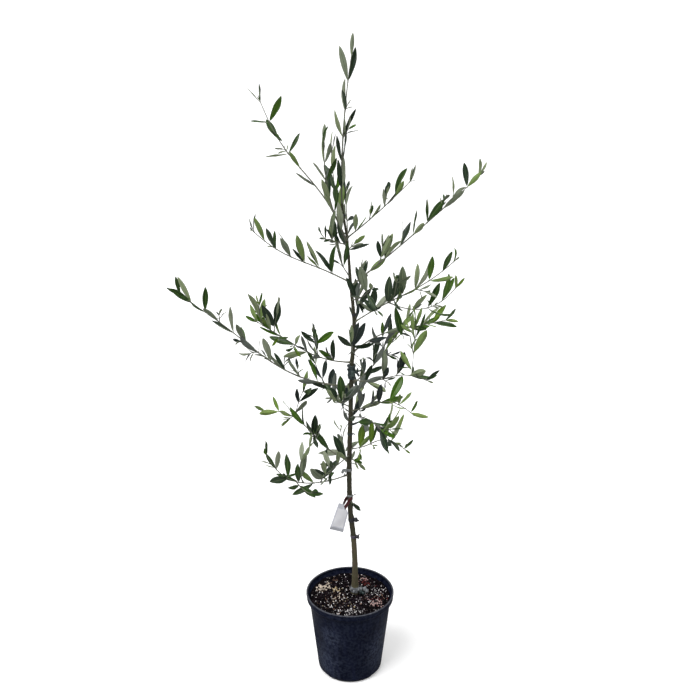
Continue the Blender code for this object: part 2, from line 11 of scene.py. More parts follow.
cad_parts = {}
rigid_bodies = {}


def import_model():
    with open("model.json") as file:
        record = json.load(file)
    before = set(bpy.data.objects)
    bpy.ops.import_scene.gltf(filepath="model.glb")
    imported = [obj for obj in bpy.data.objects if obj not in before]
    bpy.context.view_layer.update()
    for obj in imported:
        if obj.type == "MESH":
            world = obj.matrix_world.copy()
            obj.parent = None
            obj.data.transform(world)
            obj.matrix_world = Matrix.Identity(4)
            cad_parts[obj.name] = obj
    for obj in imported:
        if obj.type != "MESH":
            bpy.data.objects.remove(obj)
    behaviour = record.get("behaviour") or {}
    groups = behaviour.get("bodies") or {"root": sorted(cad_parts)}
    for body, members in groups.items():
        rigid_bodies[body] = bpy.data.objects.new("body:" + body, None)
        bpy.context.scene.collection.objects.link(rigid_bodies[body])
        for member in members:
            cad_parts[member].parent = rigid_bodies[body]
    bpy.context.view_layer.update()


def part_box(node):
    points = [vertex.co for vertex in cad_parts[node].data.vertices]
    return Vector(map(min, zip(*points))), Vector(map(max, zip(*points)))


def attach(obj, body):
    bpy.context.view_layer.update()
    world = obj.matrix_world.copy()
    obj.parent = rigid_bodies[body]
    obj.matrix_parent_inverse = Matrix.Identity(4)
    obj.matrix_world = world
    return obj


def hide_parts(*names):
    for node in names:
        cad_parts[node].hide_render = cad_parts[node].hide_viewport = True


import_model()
up = Vector((0, 0, 1))
gap = 0.0003

# Everything is in metres, as in the frame, where the pot's rim and height are read
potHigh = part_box("pot")[1]
potSize = {
    "rim": potHigh.x,
    "height": potHigh.z,
    "body": 0.1003,
    "hip": 0.0796,
    "hipHeight": 0.009,
    "foot": 0.0740,
    "wall": 0.0022,
    "floor": 0.003,
    "collar": 0.017,
    "corner": 0.0018,
    "lip": 0.0042,
}
soilTop = 0.202

# The trunk's middle to the right of the pot's and behind it, height by height, and its thickness
trunkShape = {
    "line": (
        (soilTop, 0.0124, 0.0140),
        (0.290, 0.0120, 0.0115),
        (0.368, 0.0080, 0.0080),
        (0.440, 0.0008, 0.0040),
        (0.560, -0.0018, -0.003),
        (0.700, 0.0014, -0.004),
        (0.800, 0.0036, 0.001),
        (0.915, 0.0090, 0.004),
        (1.010, 0.0010, 0.003),
        (1.100, -0.0056, -0.002),
        (1.185, -0.0176, -0.003),
    ),
    "girths": (
        (soilTop, 0.0076),
        (0.320, 0.0066),
        (0.600, 0.0056),
        (0.850, 0.0045),
        (1.050, 0.0031),
        (1.185, 0.0021),
    ),
    "flare": 0.0032,
    "flareHeight": 0.022,
}
trunkTip = trunkShape["line"][-1][0]

# The room that each tie keeps on the trunk: height, how tall, how thick, how far its knot stands out
tieRoom = {
    "foot_tape": (0.2130, 0.0160, 0.0016, 0.0110),
    "tie_lowest": (0.3660, 0.0080, 0.0011, 0.0052),
    "tie_low": (0.4140, 0.0120, 0.0013, 0.0060),
    "tie_under_tag": (0.4820, 0.0050, 0.0009, 0.0040),
    "tie_bow": (0.5525, 0.0070, 0.0014, 0.0048),
    "tie_middle": (0.6460, 0.0050, 0.0009, 0.0030),
    "tape_wrap": (0.7985, 0.0340, 0.0042, 0.0060),
    "tie_high": (0.9340, 0.0060, 0.0009, 0.0030),
    "tie_top": (1.1600, 0.0070, 0.0010, 0.0024),
}
strapShape = {
    "height": 0.4740,
    "width": 0.0044,
    "thick": 0.0009,
    "reach": 0.0120,
    "drop": 0.0230,
    "heading": 210,
    "sides": 12,
}
tagShape = {
    "width": 0.0340,
    "height": 0.0745,
    "thick": 0.0012,
    "neck": 0.32,
    "shoulder": 0.72,
    "lean": 13,
    "facing": 270,
    "aside": 0.0093,
    "aboveStrap": 0.0123,
    "setBack": 0.0013,
}

# How shoots grow: their wood, where leaves start, and the spread of each leaf's size and set
growth = {
    "stemTip": 0.0008,
    "stemFoot": 0.0011,
    "stemFootEach": 0.0021,
    "onParent": 0.85,
    "taper": 0.8,
    "firstLeaf": 0.03,
    "firstOnParent": 0.012,
    "afterBare": 0.03,
    "lastLeaf": 0.985,
    "leafWidth": 0.228,
    "lengths": (0.72, 1.20),
    "lastLength": 0.72,
    "widths": (0.76, 1.26),
    "openings": (26, 62),
    "lastOpenings": (14, 30),
    "upturns": (-0.4, 1.4),
    "hanging": 1.6,
    "curls": (0.12, 0.8),
    "leafGone": 0.06,
    "space": 0.085,
}


class Shoot(NamedTuple):
    name: str
    foot: float
    heading: float
    reach: float
    rise: float
    bow: float
    sway: float
    bare: float
    pairs: int
    leaf: float
    seed: int
    tint: str
    parent: str = ""


# A foot is a height on the trunk or, with a parent, a share of the parent's length
shoots = (
    Shoot("leader", 1.185, 30, 0.024, 0.304, -0.025, 0.0, 0.0, 6, 0.064, 763, "deep"),
    Shoot("upright_left", 1.103, 225, 0.067, 0.22, 0.085, 0.0, 0.0, 6, 0.058, 547, "olive"),
    Shoot("upright_back", 1.137, 115, 0.07, 0.15, 0.1, 0.0, 0.0, 4, 0.058, 196, "olive"),
    Shoot("upper_left", 1.093, 160, 0.199, 0.3, -0.004, -0.03, 0.24, 7, 0.057, 564, "olive"),
    Shoot("upper_right", 1.11, -40, 0.167, 0.144, 0.015, 0.0, 0.0, 5, 0.055, 589, "olive"),
    Shoot("short_left", 1.095, 240, 0.092, 0.033, 0.01, 0.0, 0.0, 3, 0.057, 6, "grey"),
    Shoot("back_high", 1.064, 92, 0.2, 0.105, 0.03, 0.0, 0.0, 5, 0.057, 331, "deep"),
    Shoot("mid_left", 1.009, 200, 0.216, 0.133, 0.035, -0.016, 0.16, 7, 0.057, 188, "olive"),
    Shoot("long_right", 1.0, 25, 0.321, 0.219, 0.01, 0.0, 0.1, 9, 0.058, 279, "olive"),
    Shoot("long_right_riser", 0.21, 60, 0.015, 0.032, 0.08, 0.0, 0.0, 2, 0.055, 190, "olive", "long_right"),
    Shoot("rising_left", 1.022, 215, 0.035, 0.095, 0.095, 0.0, 0.0, 3, 0.055, 479, "deep"),
    Shoot("front_high", 0.968, -75, 0.15, 0.07, 0.03, 0.0, 0.0, 4, 0.057, 293, "deep"),
    Shoot("right_mid", 0.916, -20, 0.225, 0.163, 0.02, -0.013, 0.16, 7, 0.058, 646, "bright"),
    Shoot("right_mid_lower", 0.35, -5, 0.145, 0.037, 0.209, 0.0, 0.0, 5, 0.057, 802, "bright", "right_mid"),
    Shoot("right_mid_riser", 0.39, 280, 0.036, 0.051, 0.055, 0.0, 0.0, 2, 0.056, 668, "silver", "right_mid"),
    Shoot("back_mid", 0.898, 84, 0.17, 0.09, 0.05, 0.0, 0.0, 5, 0.057, 488, "deep"),
    Shoot("front_mid", 0.864, -92, 0.15, 0.055, 0.04, 0.0, 0.0, 4, 0.058, 666, "olive"),
    Shoot("right_low", 0.845, 30, 0.256, 0.033, -0.066, -0.02, 0.14, 7, 0.055, 276, "fresh"),
    Shoot("left_mid", 0.821, 205, 0.225, 0.13, 0.063, 0.016, 0.14, 7, 0.058, 286, "fresh"),
    Shoot("left_mid_riser", 0.33, 120, 0.013, 0.047, 0.027, 0.0, 0.0, 3, 0.055, 222, "olive", "left_mid"),
    Shoot("left_mid_crown", 0.93, 150, 0.008, 0.042, 0.07, 0.0, 0.0, 2, 0.056, 779, "fresh", "left_mid"),
    Shoot("left_mid_inner", 0.81, 300, 0.017, 0.045, -0.05, 0.0, 0.0, 2, 0.056, 702, "olive", "left_mid"),
    Shoot("right_thin", 0.768, 55, 0.237, 0.088, 0.059, 0.008, 0.16, 6, 0.057, 568, "bright"),
    Shoot("right_thin_riser", 0.55, 120, 0.006, 0.037, 0.0, 0.0, 0.0, 2, 0.053, 355, "fresh", "right_thin"),
    Shoot("right_fork", 0.779, -30, 0.19, 0.037, -0.031, 0.039, 0.16, 5, 0.055, 642, "olive"),
    Shoot("right_fork_riser", 0.81, 20, 0.008, 0.119, 0.004, 0.0, 0.0, 4, 0.057, 804, "bright", "right_fork"),
    Shoot("right_fork_inner", 0.46, 250, 0.015, 0.045, 0.2, 0.0, 0.0, 2, 0.055, 898, "deep", "right_fork"),
    Shoot("long_left", 0.762, 170, 0.4, 0.2, 0.077, 0.028, 0.13, 11, 0.058, 16, "dull"),
    Shoot("front_low", 0.738, -100, 0.16, 0.055, 0.04, 0.0, 0.0, 4, 0.058, 211, "dull"),
    Shoot("left_inner", 0.714, 120, 0.17, 0.048, 0.145, 0.0, 0.0, 5, 0.057, 368, "olive"),
    Shoot("back_low", 0.668, 80, 0.18, 0.07, 0.04, 0.0, 0.0, 5, 0.057, 604, "dull"),
    Shoot("right_droop", 0.703, -45, 0.186, 0.053, -0.109, 0.037, 0.12, 6, 0.057, 107, "fresh"),
    Shoot("front_right", 0.684, -65, 0.195, 0.03, -0.11, 0.0, 0.12, 5, 0.058, 281, "deep"),
    Shoot("front_right_riser", 0.86, -40, 0.018, 0.026, 0.0, 0.0, 0.0, 2, 0.053, 219, "fresh", "front_right"),
    Shoot("low_right", 0.606, -35, 0.151, 0.042, -0.116, 0.051, 0.0, 5, 0.058, 456, "fresh"),
    Shoot("low_front", 0.59, 250, 0.156, 0.025, 0.0, 0.0, 0.0, 4, 0.061, 60, "deep"),
    Shoot("low_left", 0.573, 155, 0.226, 0.086, -0.083, 0.057, 0.2, 6, 0.053, 259, "bright"),
    Shoot("low_left_riser", 0.68, 320, 0.044, 0.103, -0.034, 0.0, 0.0, 4, 0.053, 333, "fresh", "low_left"),
    Shoot("low_left_tuft", 0.47, 300, 0.028, 0.006, 0.2, 0.0, 0.0, 2, 0.053, 551, "deep", "low_left"),
    Shoot("low_back", 0.545, 98, 0.16, 0.035, 0.0, 0.0, 0.0, 4, 0.059, 893, "deep"),
    Shoot("lowest_left", 0.54, 215, 0.223, 0.116, 0.181, -0.012, 0.18, 6, 0.059, 124, "olive"),
    Shoot("lowest_left_riser", 0.48, 20, 0.016, 0.088, -0.164, 0.0, 0.0, 3, 0.058, 64, "olive", "lowest_left"),
    Shoot("lowest_left_hanger", 0.56, 300, 0.072, 0.005, 0.101, 0.0, 0.0, 2, 0.057, 22, "olive", "lowest_left"),
    Shoot("lowest_left_inner", 0.29, 300, 0.033, 0.06, 0.02, 0.0, 0.0, 2, 0.057, 380, "deep", "lowest_left"),
    Shoot("low_tuft", 0.584, 320, 0.012, -0.002, 0.0, 0.0, 0.0, 2, 0.04, 303, "olive"),
    Shoot("foot_tuft", 0.47, 295, 0.01, -0.003, 0.0, 0.0, 0.0, 2, 0.044, 835, "deep"),
)


def smoothBetween(rows, height):
    # The other values of rows at this height, on a smooth curve through them all
    heights = [row[0] for row in rows]
    i = min(max(sum(h <= height for h in heights) - 1, 0), len(rows) - 2)
    before = rows[max(i - 1, 0)]
    after = rows[min(i + 2, len(rows) - 1)]
    low = rows[i]
    high = rows[i + 1]
    span = high[0] - low[0]
    t = (height - low[0]) / span
    values = []
    for column in range(1, len(low)):
        leave = (high[column] - before[column]) / (high[0] - before[0]) * span
        arrive = (after[column] - low[column]) / (after[0] - low[0]) * span
        values.append(
            (2 * t**3 - 3 * t**2 + 1) * low[column]
            + (t**3 - 2 * t**2 + t) * leave
            + (3 * t**2 - 2 * t**3) * high[column]
            + (t**3 - t**2) * arrive
        )
    return values


def trunkMiddle(height):
    right, behind = smoothBetween(trunkShape["line"], height)
    return Vector((right, behind, height))


def trunkRadius(height):
    flare = trunkShape["flare"] * math.exp(-(height - soilTop) / trunkShape["flareHeight"])
    return smoothBetween(trunkShape["girths"], height)[0] + flare


def squareTo(direction):
    # A level and an upward direction, both square to this one
    across = direction.cross(up)
    if across.length < 0.05:
        across = direction.cross(Vector((0, 1, 0)))
    across.normalize()
    return across, across.cross(direction).normalized()


def levelAt(angle):
    return Vector((math.cos(angle), math.sin(angle), 0))


def between(first, second, angle):
    # The direction at this angle from the first towards the second
    return first * math.cos(angle) + second * math.sin(angle)


def bandSection(angle, height, tall, inner, outer):
    out = levelAt(angle)
    low = trunkMiddle(height - tall / 2)
    high = trunkMiddle(height + tall / 2)
    return [low + out * inner, low + out * outer, high + out * outer, high + out * inner]


def strapRings(sides):
    # Sections of a strap that rests on the trunk behind and is pulled out and down in front
    rings = []
    snug = (trunkRadius(strapShape["height"]) + gap) / math.cos(math.pi / strapShape["sides"])
    for i in range(sides):
        angle = 2 * math.pi * i / sides
        pull = max(0.0, math.cos(angle - math.radians(strapShape["heading"]))) ** 5
        height = strapShape["height"] - strapShape["drop"] * pull
        inner = snug + strapShape["reach"] * pull
        rings.append(bandSection(angle, height, strapShape["width"], inner, inner + strapShape["thick"]))
    return rings


def tagPlace():
    # Where the middle of the tag's top edge hangs, and how the tag is turned
    facing = levelAt(math.radians(tagShape["facing"]))
    aside = facing.cross(up)
    points = [point for ring in strapRings(strapShape["sides"]) for point in ring]
    front = max(points, key=lambda point: point.dot(facing))
    place = front - facing * tagShape["setBack"] + aside * tagShape["aside"]
    place.z = strapShape["height"] - strapShape["drop"] + tagShape["aboveStrap"]
    turn = Euler((0, math.radians(tagShape["lean"]), math.radians(tagShape["facing"] - 270)))
    return place, turn.to_matrix()


class Stem:
    # The line that a shoot's wood follows, with its thickness
    def __init__(self, shoot, stems):
        self.shoot = shoot
        self.out = levelAt(math.radians(shoot.heading))
        self.length = math.hypot(shoot.reach, shoot.rise)
        self.sag = (self.out * shoot.rise - up * shoot.reach) / self.length
        if shoot.parent:
            parent = stems[shoot.parent]
            self.start = parent.point(shoot.foot)
            self.thick = parent.radius(shoot.foot) * growth["onParent"]
        else:
            self.start = trunkMiddle(shoot.foot)
            self.thick = growth["stemFoot"] + growth["stemFootEach"] * self.length
        if shoot.name == "leader":
            self.thick = trunkRadius(shoot.foot)
        self.nodes = []

    def point(self, t):
        line = self.out * self.shoot.reach * t + up * self.shoot.rise * t
        bend = 4 * self.shoot.bow * t * (1 - t) + self.shoot.sway * math.sin(2 * math.pi * t)
        return self.start + line + self.sag * bend * self.length

    def along(self, t):
        return (self.point(t + 0.01) - self.point(t - 0.01)).normalized()

    def radius(self, t):
        return growth["stemTip"] + (self.thick - growth["stemTip"]) * max(1 - t, 0) ** growth["taper"]

    def firstLeaf(self):
        start = growth["firstOnParent" if self.shoot.parent else "firstLeaf"]
        return max(self.shoot.bare + growth["afterBare"], min(start / self.length, 0.7))


class Leaf(NamedTuple):
    root: Vector
    direction: Vector
    face: Vector
    length: float
    width: float
    curl: float

    def middle(self, s):
        # The midrib is an arc that bends towards the leaf's face
        turn = self.curl * s
        ahead = math.sin(turn) / self.curl
        aside = (1 - math.cos(turn)) / self.curl
        return self.root + (self.direction * ahead + self.face * aside) * self.length

    def halfWidth(self, s):
        return self.width / 2 * math.sin(math.pi * s**1.25) ** 0.85

    def balls(self):
        # Centres and radii that hold the whole blade
        shares = (0.25, 0.37, 0.49, 0.61, 0.72, 0.82, 0.91, 1.0)
        centres = [self.middle(s) for s in shares]
        return centres, [max(self.halfWidth(min(s, 0.97)), 0.002) + gap for s in shares]


def leavesOn(stem):
    # Every leaf that the shoot would carry: pairs, each turned a quarter round from the last
    shoot = stem.shoot
    rng = random.Random(shoot.seed)
    first = stem.firstLeaf()
    phase = rng.uniform(0, 180)
    upturn = rng.uniform(*growth["upturns"]) - (growth["hanging"] if shoot.rise < 0 else 0)
    for k in range(shoot.pairs):
        t = first + (growth["lastLeaf"] - first) * (k / (shoot.pairs - 1)) ** 0.95
        if 0 < k < shoot.pairs - 1:
            t += rng.uniform(-0.12, 0.12) / shoot.pairs
        root = stem.point(t)
        stem.nodes.append(t)
        along = stem.along(t)
        across, over = squareTo(along)
        spin = phase + 90 * k + rng.gauss(0, 14)
        last = k == shoot.pairs - 1
        for side in (0, 180):
            around = math.radians(spin + side + rng.uniform(-12, 12))
            out = between(across, over, around)
            opening = math.radians(rng.uniform(*growth["lastOpenings" if last else "openings"]))
            lift = up * (upturn + rng.gauss(0, 0.3))
            direction = (between(along, out, opening) + lift).normalized()
            level, overLeaf = squareTo(direction)
            roll = math.radians(rng.uniform(-90, 90))
            face = between(overLeaf, level, roll).normalized()
            length = shoot.leaf * rng.uniform(*growth["lengths"]) * (growth["lastLength"] if last else 1.0)
            width = length * growth["leafWidth"] * rng.uniform(*growth["widths"])
            curl = math.copysign(rng.uniform(*growth["curls"]), face.z + rng.gauss(0, 0.3))
            gone = rng.random() < growth["leafGone"] and not last
            if not gone:
                yield Leaf(root, direction, face, length, width, curl)


class Taken:
    # The room already used, as balls with the name of the spray or limb that each belongs to
    def __init__(self):
        self.centres = np.zeros((0, 3))
        self.radii = np.zeros(0)
        self.owners = np.zeros(0, dtype=object)

    def add(self, centres, radii, owner):
        self.centres = np.vstack([self.centres, np.array([tuple(c) for c in centres])])
        self.radii = np.append(self.radii, radii)
        self.owners = np.append(self.owners, np.array([owner] * len(radii), dtype=object))

    def clear(self, centres, radii, owner):
        others = self.owners != owner
        if not others.any():
            return True
        points = np.array([tuple(c) for c in centres])
        apart = np.linalg.norm(points[:, None] - self.centres[others][None], axis=2)
        return bool((apart > np.array(radii)[:, None] + self.radii[others][None]).all())


def massOf(shoot):
    return shoot.parent or shoot.name


def takeLimbs(taken, stems):
    for height, tall, thick, knot in tieRoom.values():
        reach = trunkRadius(height) + thick + knot
        taken.add([trunkMiddle(height)], [max(reach, tall / 2) + gap], "trunk")
    place, turn = tagPlace()
    shares = np.linspace(0.1, 0.9, 5)
    centres = [place + turn @ Vector((0, 0, -tagShape["height"] * share)) for share in shares]
    taken.add(centres, [tagShape["width"] / 2] * len(shares), "trunk")
    steps = 120
    for i in range(steps + 1):
        height = soilTop + (trunkTip - soilTop) * i / steps
        taken.add([trunkMiddle(height)], [trunkRadius(height) + gap], "trunk")
    for stem in stems.values():
        shares = np.linspace(0.03, 1, max(8, int(stem.length / 0.005)))
        centres = [stem.point(t) for t in shares]
        taken.add(centres, [stem.radius(t) + gap for t in shares], massOf(stem.shoot))


def growLeaves(stems, taken):
    # Each stem's leaves, without those that would leave its space or touch another limb or spray
    grown = {}
    for name, stem in stems.items():
        kept = []
        for leaf in leavesOn(stem):
            centres, radii = leaf.balls()
            inside = (leaf.middle(1) - leaf.root).length < growth["space"]
            if inside and taken.clear(centres, radii, massOf(stem.shoot)):
                taken.add(centres, radii, massOf(stem.shoot))
                kept.append(leaf)
        grown[name] = kept
    return grown


class Twiglet(NamedTuple):
    start: Vector
    end: Vector
    bend: Vector
    thick: float

    def point(self, t):
        return self.start.lerp(self.end, t) + self.bend * 4 * t * (1 - t)


# Short side shoots in the leaf axils, and the young leaves at every tip
finer = {
    "chance": 0.25,
    "length": (0.008, 0.026),
    "leaf": (0.014, 0.034),
    "tipLeaf": (0.010, 0.018),
    "thick": 0.0011,
    "opening": (28, 62),
    "slender": (0.20, 0.30),
    "fullGrown": 0.021,
}
# Chance of a side shoot in each leaf axil of the sprays that are twiggiest
twiggy = {
    "long_left": 0.75,
    "left_mid": 0.55,
    "left_inner": 0.80,
    "right_low": 0.60,
    "right_thin": 0.75,
    "right_fork": 0.60,
    "right_droop": 0.95,
    "front_right": 0.95,
    "low_right": 0.80,
    "front_low": 0.95,
    "back_low": 0.70,
    "front_mid": 0.70,
    "upper_left": 0.45,
    "lowest_left": 0.45,
    "low_front": 0.50,
}


def growFiner(stems, taken):
    twiglets = []
    young = {name: [] for name in stems}
    for name, stem in stems.items():
        rng = random.Random("finer " + name)
        owner = massOf(stem.shoot)
        chance = twiggy.get(owner, finer["chance"])

        def youngLeaf(root, along, opening, size):
            across, over = squareTo(along)
            around = rng.uniform(0, 2 * math.pi)
            for side in (0, math.pi):
                out = between(across, over, around + side)
                direction = between(along, out, math.radians(rng.uniform(*opening))).normalized()
                face = (along - direction * along.dot(direction)).normalized()
                length = rng.uniform(*size)
                curl = rng.uniform(0.2, 0.7) * rng.choice((-1, 1))
                leaf = Leaf(root, direction, face, length, length * rng.uniform(*finer["slender"]), curl)
                centres, radii = leaf.balls()
                if taken.clear(centres, radii, owner):
                    taken.add(centres, radii, owner)
                    young[name].append(leaf)

        for t in stem.nodes[:-1]:
            if rng.random() > chance:
                continue
            start = stem.point(t)
            along = stem.along(t)
            across, over = squareTo(along)
            around = rng.uniform(0, 2 * math.pi)
            out = between(across, over, around)
            direction = between(along, out, math.radians(rng.uniform(*finer["opening"])))
            length = rng.uniform(*finer["length"])
            bend = along * length * rng.uniform(-0.06, 0.12)
            twiglet = Twiglet(start, start + direction * length, bend, finer["thick"])
            shares = (0.3, 0.6, 1.0)
            centres = [twiglet.point(share) for share in shares]
            if not taken.clear(centres, [0.001] * len(shares), owner):
                continue
            taken.add(centres, [0.001] * len(shares), owner)
            twiglets.append(twiglet)
            tip = (twiglet.point(1) - twiglet.point(0.9)).normalized()
            youngLeaf(twiglet.point(0.97), tip, (18, 40), finer["leaf"])
            if length > 0.012:
                youngLeaf(twiglet.point(0.5), tip, (35, 60), finer["leaf"])
        youngLeaf(stem.point(0.995), stem.along(0.99), (6, 20), finer["tipLeaf"])
    return twiglets, young


stems = {}
for shoot in shoots:
    stems[shoot.name] = Stem(shoot, stems)
taken = Taken()
takeLimbs(taken, stems)
grownLeaves = growLeaves(stems, taken)
twiglets, youngLeaves = growFiner(stems, taken)
leafCount = sum(len(leaves) for leaves in grownLeaves.values())
youngCount = sum(len(leaves) for leaves in youngLeaves.values())
print("Grown:", len(stems), "stems with", leafCount, "leaves")
print("Grown:", len(twiglets), "twiglets and", youngCount, "young leaves")


def gridFaces(rows, columns, around=True):
    # Quads between rows of points, where each row is closed round or open
    sides = columns if around else columns - 1
    row, side = np.meshgrid(np.arange(rows - 1), np.arange(sides), indexing="ij")
    low = row * columns + side
    beside = row * columns + (side + 1) % columns
    return np.stack([low, beside, beside + columns, low + columns], axis=-1).reshape(-1, 4)


def closedFaces(rows, columns):
    # The quads of a tube and its two ends
    end = np.arange(columns)[None]
    return [gridFaces(rows, columns), end, end + (rows - 1) * columns]


class Bundle:
    # The points and faces of many small closed shapes, gathered for one mesh
    def __init__(self):
        self.points = []
        self.corners = []
        self.sizes = []
        self.slots = []
        self.count = 0

    def add(self, points, faceSets, slotSets=(0,)):
        points = np.asarray(points, float).reshape(-1, 3)
        faceSets = [np.asarray(faces, int) for faces in faceSets]
        local = points - points.mean(0)
        volume = 0.0
        for faces in faceSets:
            for k in range(1, faces.shape[1] - 1):
                a, b, c = (local[faces[:, i]] for i in (0, k, k + 1))
                volume += float((a * np.cross(b, c)).sum())
        for i, faces in enumerate(faceSets):
            if volume < 0:
                faces = faces[:, ::-1]
            slot = slotSets[i] if i < len(slotSets) else slotSets[-1]
            self.corners.append((faces + self.count).ravel())
            self.sizes.append(np.full(len(faces), faces.shape[1]))
            self.slots.append(np.broadcast_to(slot, len(faces)))
        self.points.append(points)
        self.count += len(points)

    def build(self, name, materials, slot, replaced=()):
        mesh = bpy.data.meshes.new(name)
        corners = np.concatenate(self.corners)
        sizes = np.concatenate(self.sizes)
        mesh.vertices.add(self.count)
        mesh.vertices.foreach_set("co", np.concatenate(self.points).ravel())
        mesh.loops.add(len(corners))
        mesh.loops.foreach_set("vertex_index", corners)
        mesh.polygons.add(len(sizes))
        mesh.polygons.foreach_set("loop_start", np.concatenate([[0], np.cumsum(sizes)[:-1]]))
        mesh.polygons.foreach_set("loop_total", sizes)
        mesh.polygons.foreach_set("material_index", np.concatenate(self.slots))
        mesh.update(calc_edges=True)
        mesh.shade_smooth()
        for material in materials:
            mesh.materials.append(material)
        piece = bpy.data.objects.new(name, mesh)
        bpy.context.scene.collection.objects.link(piece)
        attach(piece, "root")
        if replaced:
            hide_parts(*replaced)
        triangles = int((sizes - 2).sum())
        print("Made", name, "with", triangles, "triangles")
        return piece


def tubeRings(middles, acrosses, overs, radii, sides):
    angles = np.linspace(0, 2 * math.pi, sides, endpoint=False)[None, :, None]
    around = acrosses[:, None] * np.sin(angles) + overs[:, None] * np.cos(angles)
    radii = np.broadcast_to(np.asarray(radii).reshape(len(middles), -1), (len(middles), sides))
    return middles[:, None] + around * radii[:, :, None]


def addTube(bundle, rings, slot=0):
    bundle.add(rings, closedFaces(*rings.shape[:2]), (slot,))


def addRod(bundle, middles, along, radii, slot=0):
    # A thin rod whose sections all stay square to one direction
    middles = np.asarray(middles, float)
    frames = [np.broadcast_to(np.array(v), middles.shape) for v in squareTo(along)]
    addTube(bundle, tubeRings(middles, *frames, radii, 6), slot)


def fractal(point, scale, octaves=2):
    value = 0.0
    for octave in range(octaves):
        value += noise.noise(Vector(point) * scale * 2**octave) / 2**octave
    return value


# Shader helpers


def wire(tree, kind, values=None, **settings):
    # A new node with its settings, and each input linked or given its value
    made = tree.nodes.new(kind)
    for key, value in settings.items():
        setattr(made, key, value)
    for key, value in (values or {}).items():
        if isinstance(value, bpy.types.NodeSocket):
            tree.links.new(value, made.inputs[key])
        else:
            made.inputs[key].default_value = value
    return made


class Finish:
    # A material with a Principled shader, and short calls to wire its nodes
    def __init__(self, name, roughness, **constants):
        self.material = bpy.data.materials.new(name)
        self.material.use_nodes = True
        self.tree = self.material.node_tree
        self.shader = self.tree.nodes["Principled BSDF"]
        self.shader.inputs["Roughness"].default_value = roughness
        for socket, value in constants.items():
            self.shader.inputs[socket.replace("_", " ")].default_value = value
        self.place = wire(self.tree, "ShaderNodeTexCoord").outputs["Object"]

    def group(self, tree, values):
        return wire(self.tree, "ShaderNodeGroup", {"Place": self.place, **values}, node_tree=tree).outputs

    def blotches(self, blotch, grain, contrast):
        return self.group(mottle, {"Blotch Scale": blotch, "Grain Scale": grain, "Contrast": contrast})

    def mix(self, share, low, high):
        values = {0: share}
        for key, value in ((6, low), (7, high)):
            values[key] = value if isinstance(value, bpy.types.NodeSocket) else (*value, 1)
        return wire(self.tree, "ShaderNodeMix", values, data_type="RGBA").outputs[2]

    def span(self, value, low, high):
        values = {"Value": value, "To Min": low, "To Max": high}
        return wire(self.tree, "ShaderNodeMapRange", values).outputs[0]

    def maths(self, operation, first, second):
        values = {0: first, 1: second}
        return wire(self.tree, "ShaderNodeMath", values, operation=operation, use_clamp=True).outputs[0]

    def give(self, socket, output):
        self.tree.links.new(output, self.shader.inputs[socket])

    def bump(self, height, distance, strength=1.0):
        values = {"Height": height, "Distance": distance, "Strength": strength}
        self.give("Normal", wire(self.tree, "ShaderNodeBump", values).outputs["Normal"])


def newGroup(name, inputs, outputs):
    tree = bpy.data.node_groups.new(name, "ShaderNodeTree")
    tree.interface.new_socket("Place", in_out="INPUT", socket_type="NodeSocketVector")
    for key, value in inputs.items():
        kind = "NodeSocketVector" if isinstance(value, tuple) else "NodeSocketFloat"
        socket = tree.interface.new_socket(key, in_out="INPUT", socket_type=kind)
        socket.default_value = value
    for key in outputs:
        tree.interface.new_socket(key, in_out="OUTPUT", socket_type="NodeSocketFloat")
    entry = tree.nodes.new("NodeGroupInput").outputs
    leave = tree.nodes.new("NodeGroupOutput").inputs
    return tree, entry, leave


def calculate(tree, operation, first, second=0.0):
    return wire(tree, "ShaderNodeMath", {0: first, 1: second}, operation=operation).outputs[0]


def noiseField(tree, place, scale, detail):
    values = {"Vector": place, "Scale": scale, "Detail": detail}
    return wire(tree, "ShaderNodeTexNoise", values).outputs["Fac"]


def mottleGroup():
    # Soft blotches over fine grain, as a mask from 0 to 1
    inputs = {"Blotch Scale": 40, "Grain Scale": 400, "Contrast": 1.6}
    tree, entry, leave = newGroup("Mottle", inputs, ("Mask", "Grain"))
    blotch = noiseField(tree, entry["Place"], entry["Blotch Scale"], 3)
    grain = noiseField(tree, entry["Place"], entry["Grain Scale"], 2)
    level = calculate(tree, "ADD", blotch, calculate(tree, "MULTIPLY", grain, 0.35))
    level = calculate(tree, "SUBTRACT", level, 0.675)
    level = calculate(tree, "MULTIPLY", level, entry["Contrast"])
    level = calculate(tree, "ADD", level, 0.5)
    clamp = wire(tree, "ShaderNodeClamp", {"Value": level})
    tree.links.new(clamp.outputs[0], leave["Mask"])
    tree.links.new(grain, leave["Grain"])
    return tree


def streakGroup():
    # Lines drawn out along the height, for drip marks, bark fissures and mould lines
    tree, entry, leave = newGroup("Streaks", {"Scale": 120, "Stretch": 0.06, "Cut": 0.55}, ("Mask", "Line"))
    squeeze = wire(tree, "ShaderNodeCombineXYZ", {"X": 1.0, "Y": 1.0, "Z": entry["Stretch"]}).outputs[0]
    drawn = wire(tree, "ShaderNodeVectorMath", {0: entry["Place"], 1: squeeze}, operation="MULTIPLY")
    line = noiseField(tree, drawn.outputs[0], entry["Scale"], 3)
    cut = wire(tree, "ShaderNodeMapRange", {"Value": line, "From Min": entry["Cut"], "From Max": 0.75})
    tree.links.new(cut.outputs[0], leave["Mask"])
    tree.links.new(line, leave["Line"])
    return tree


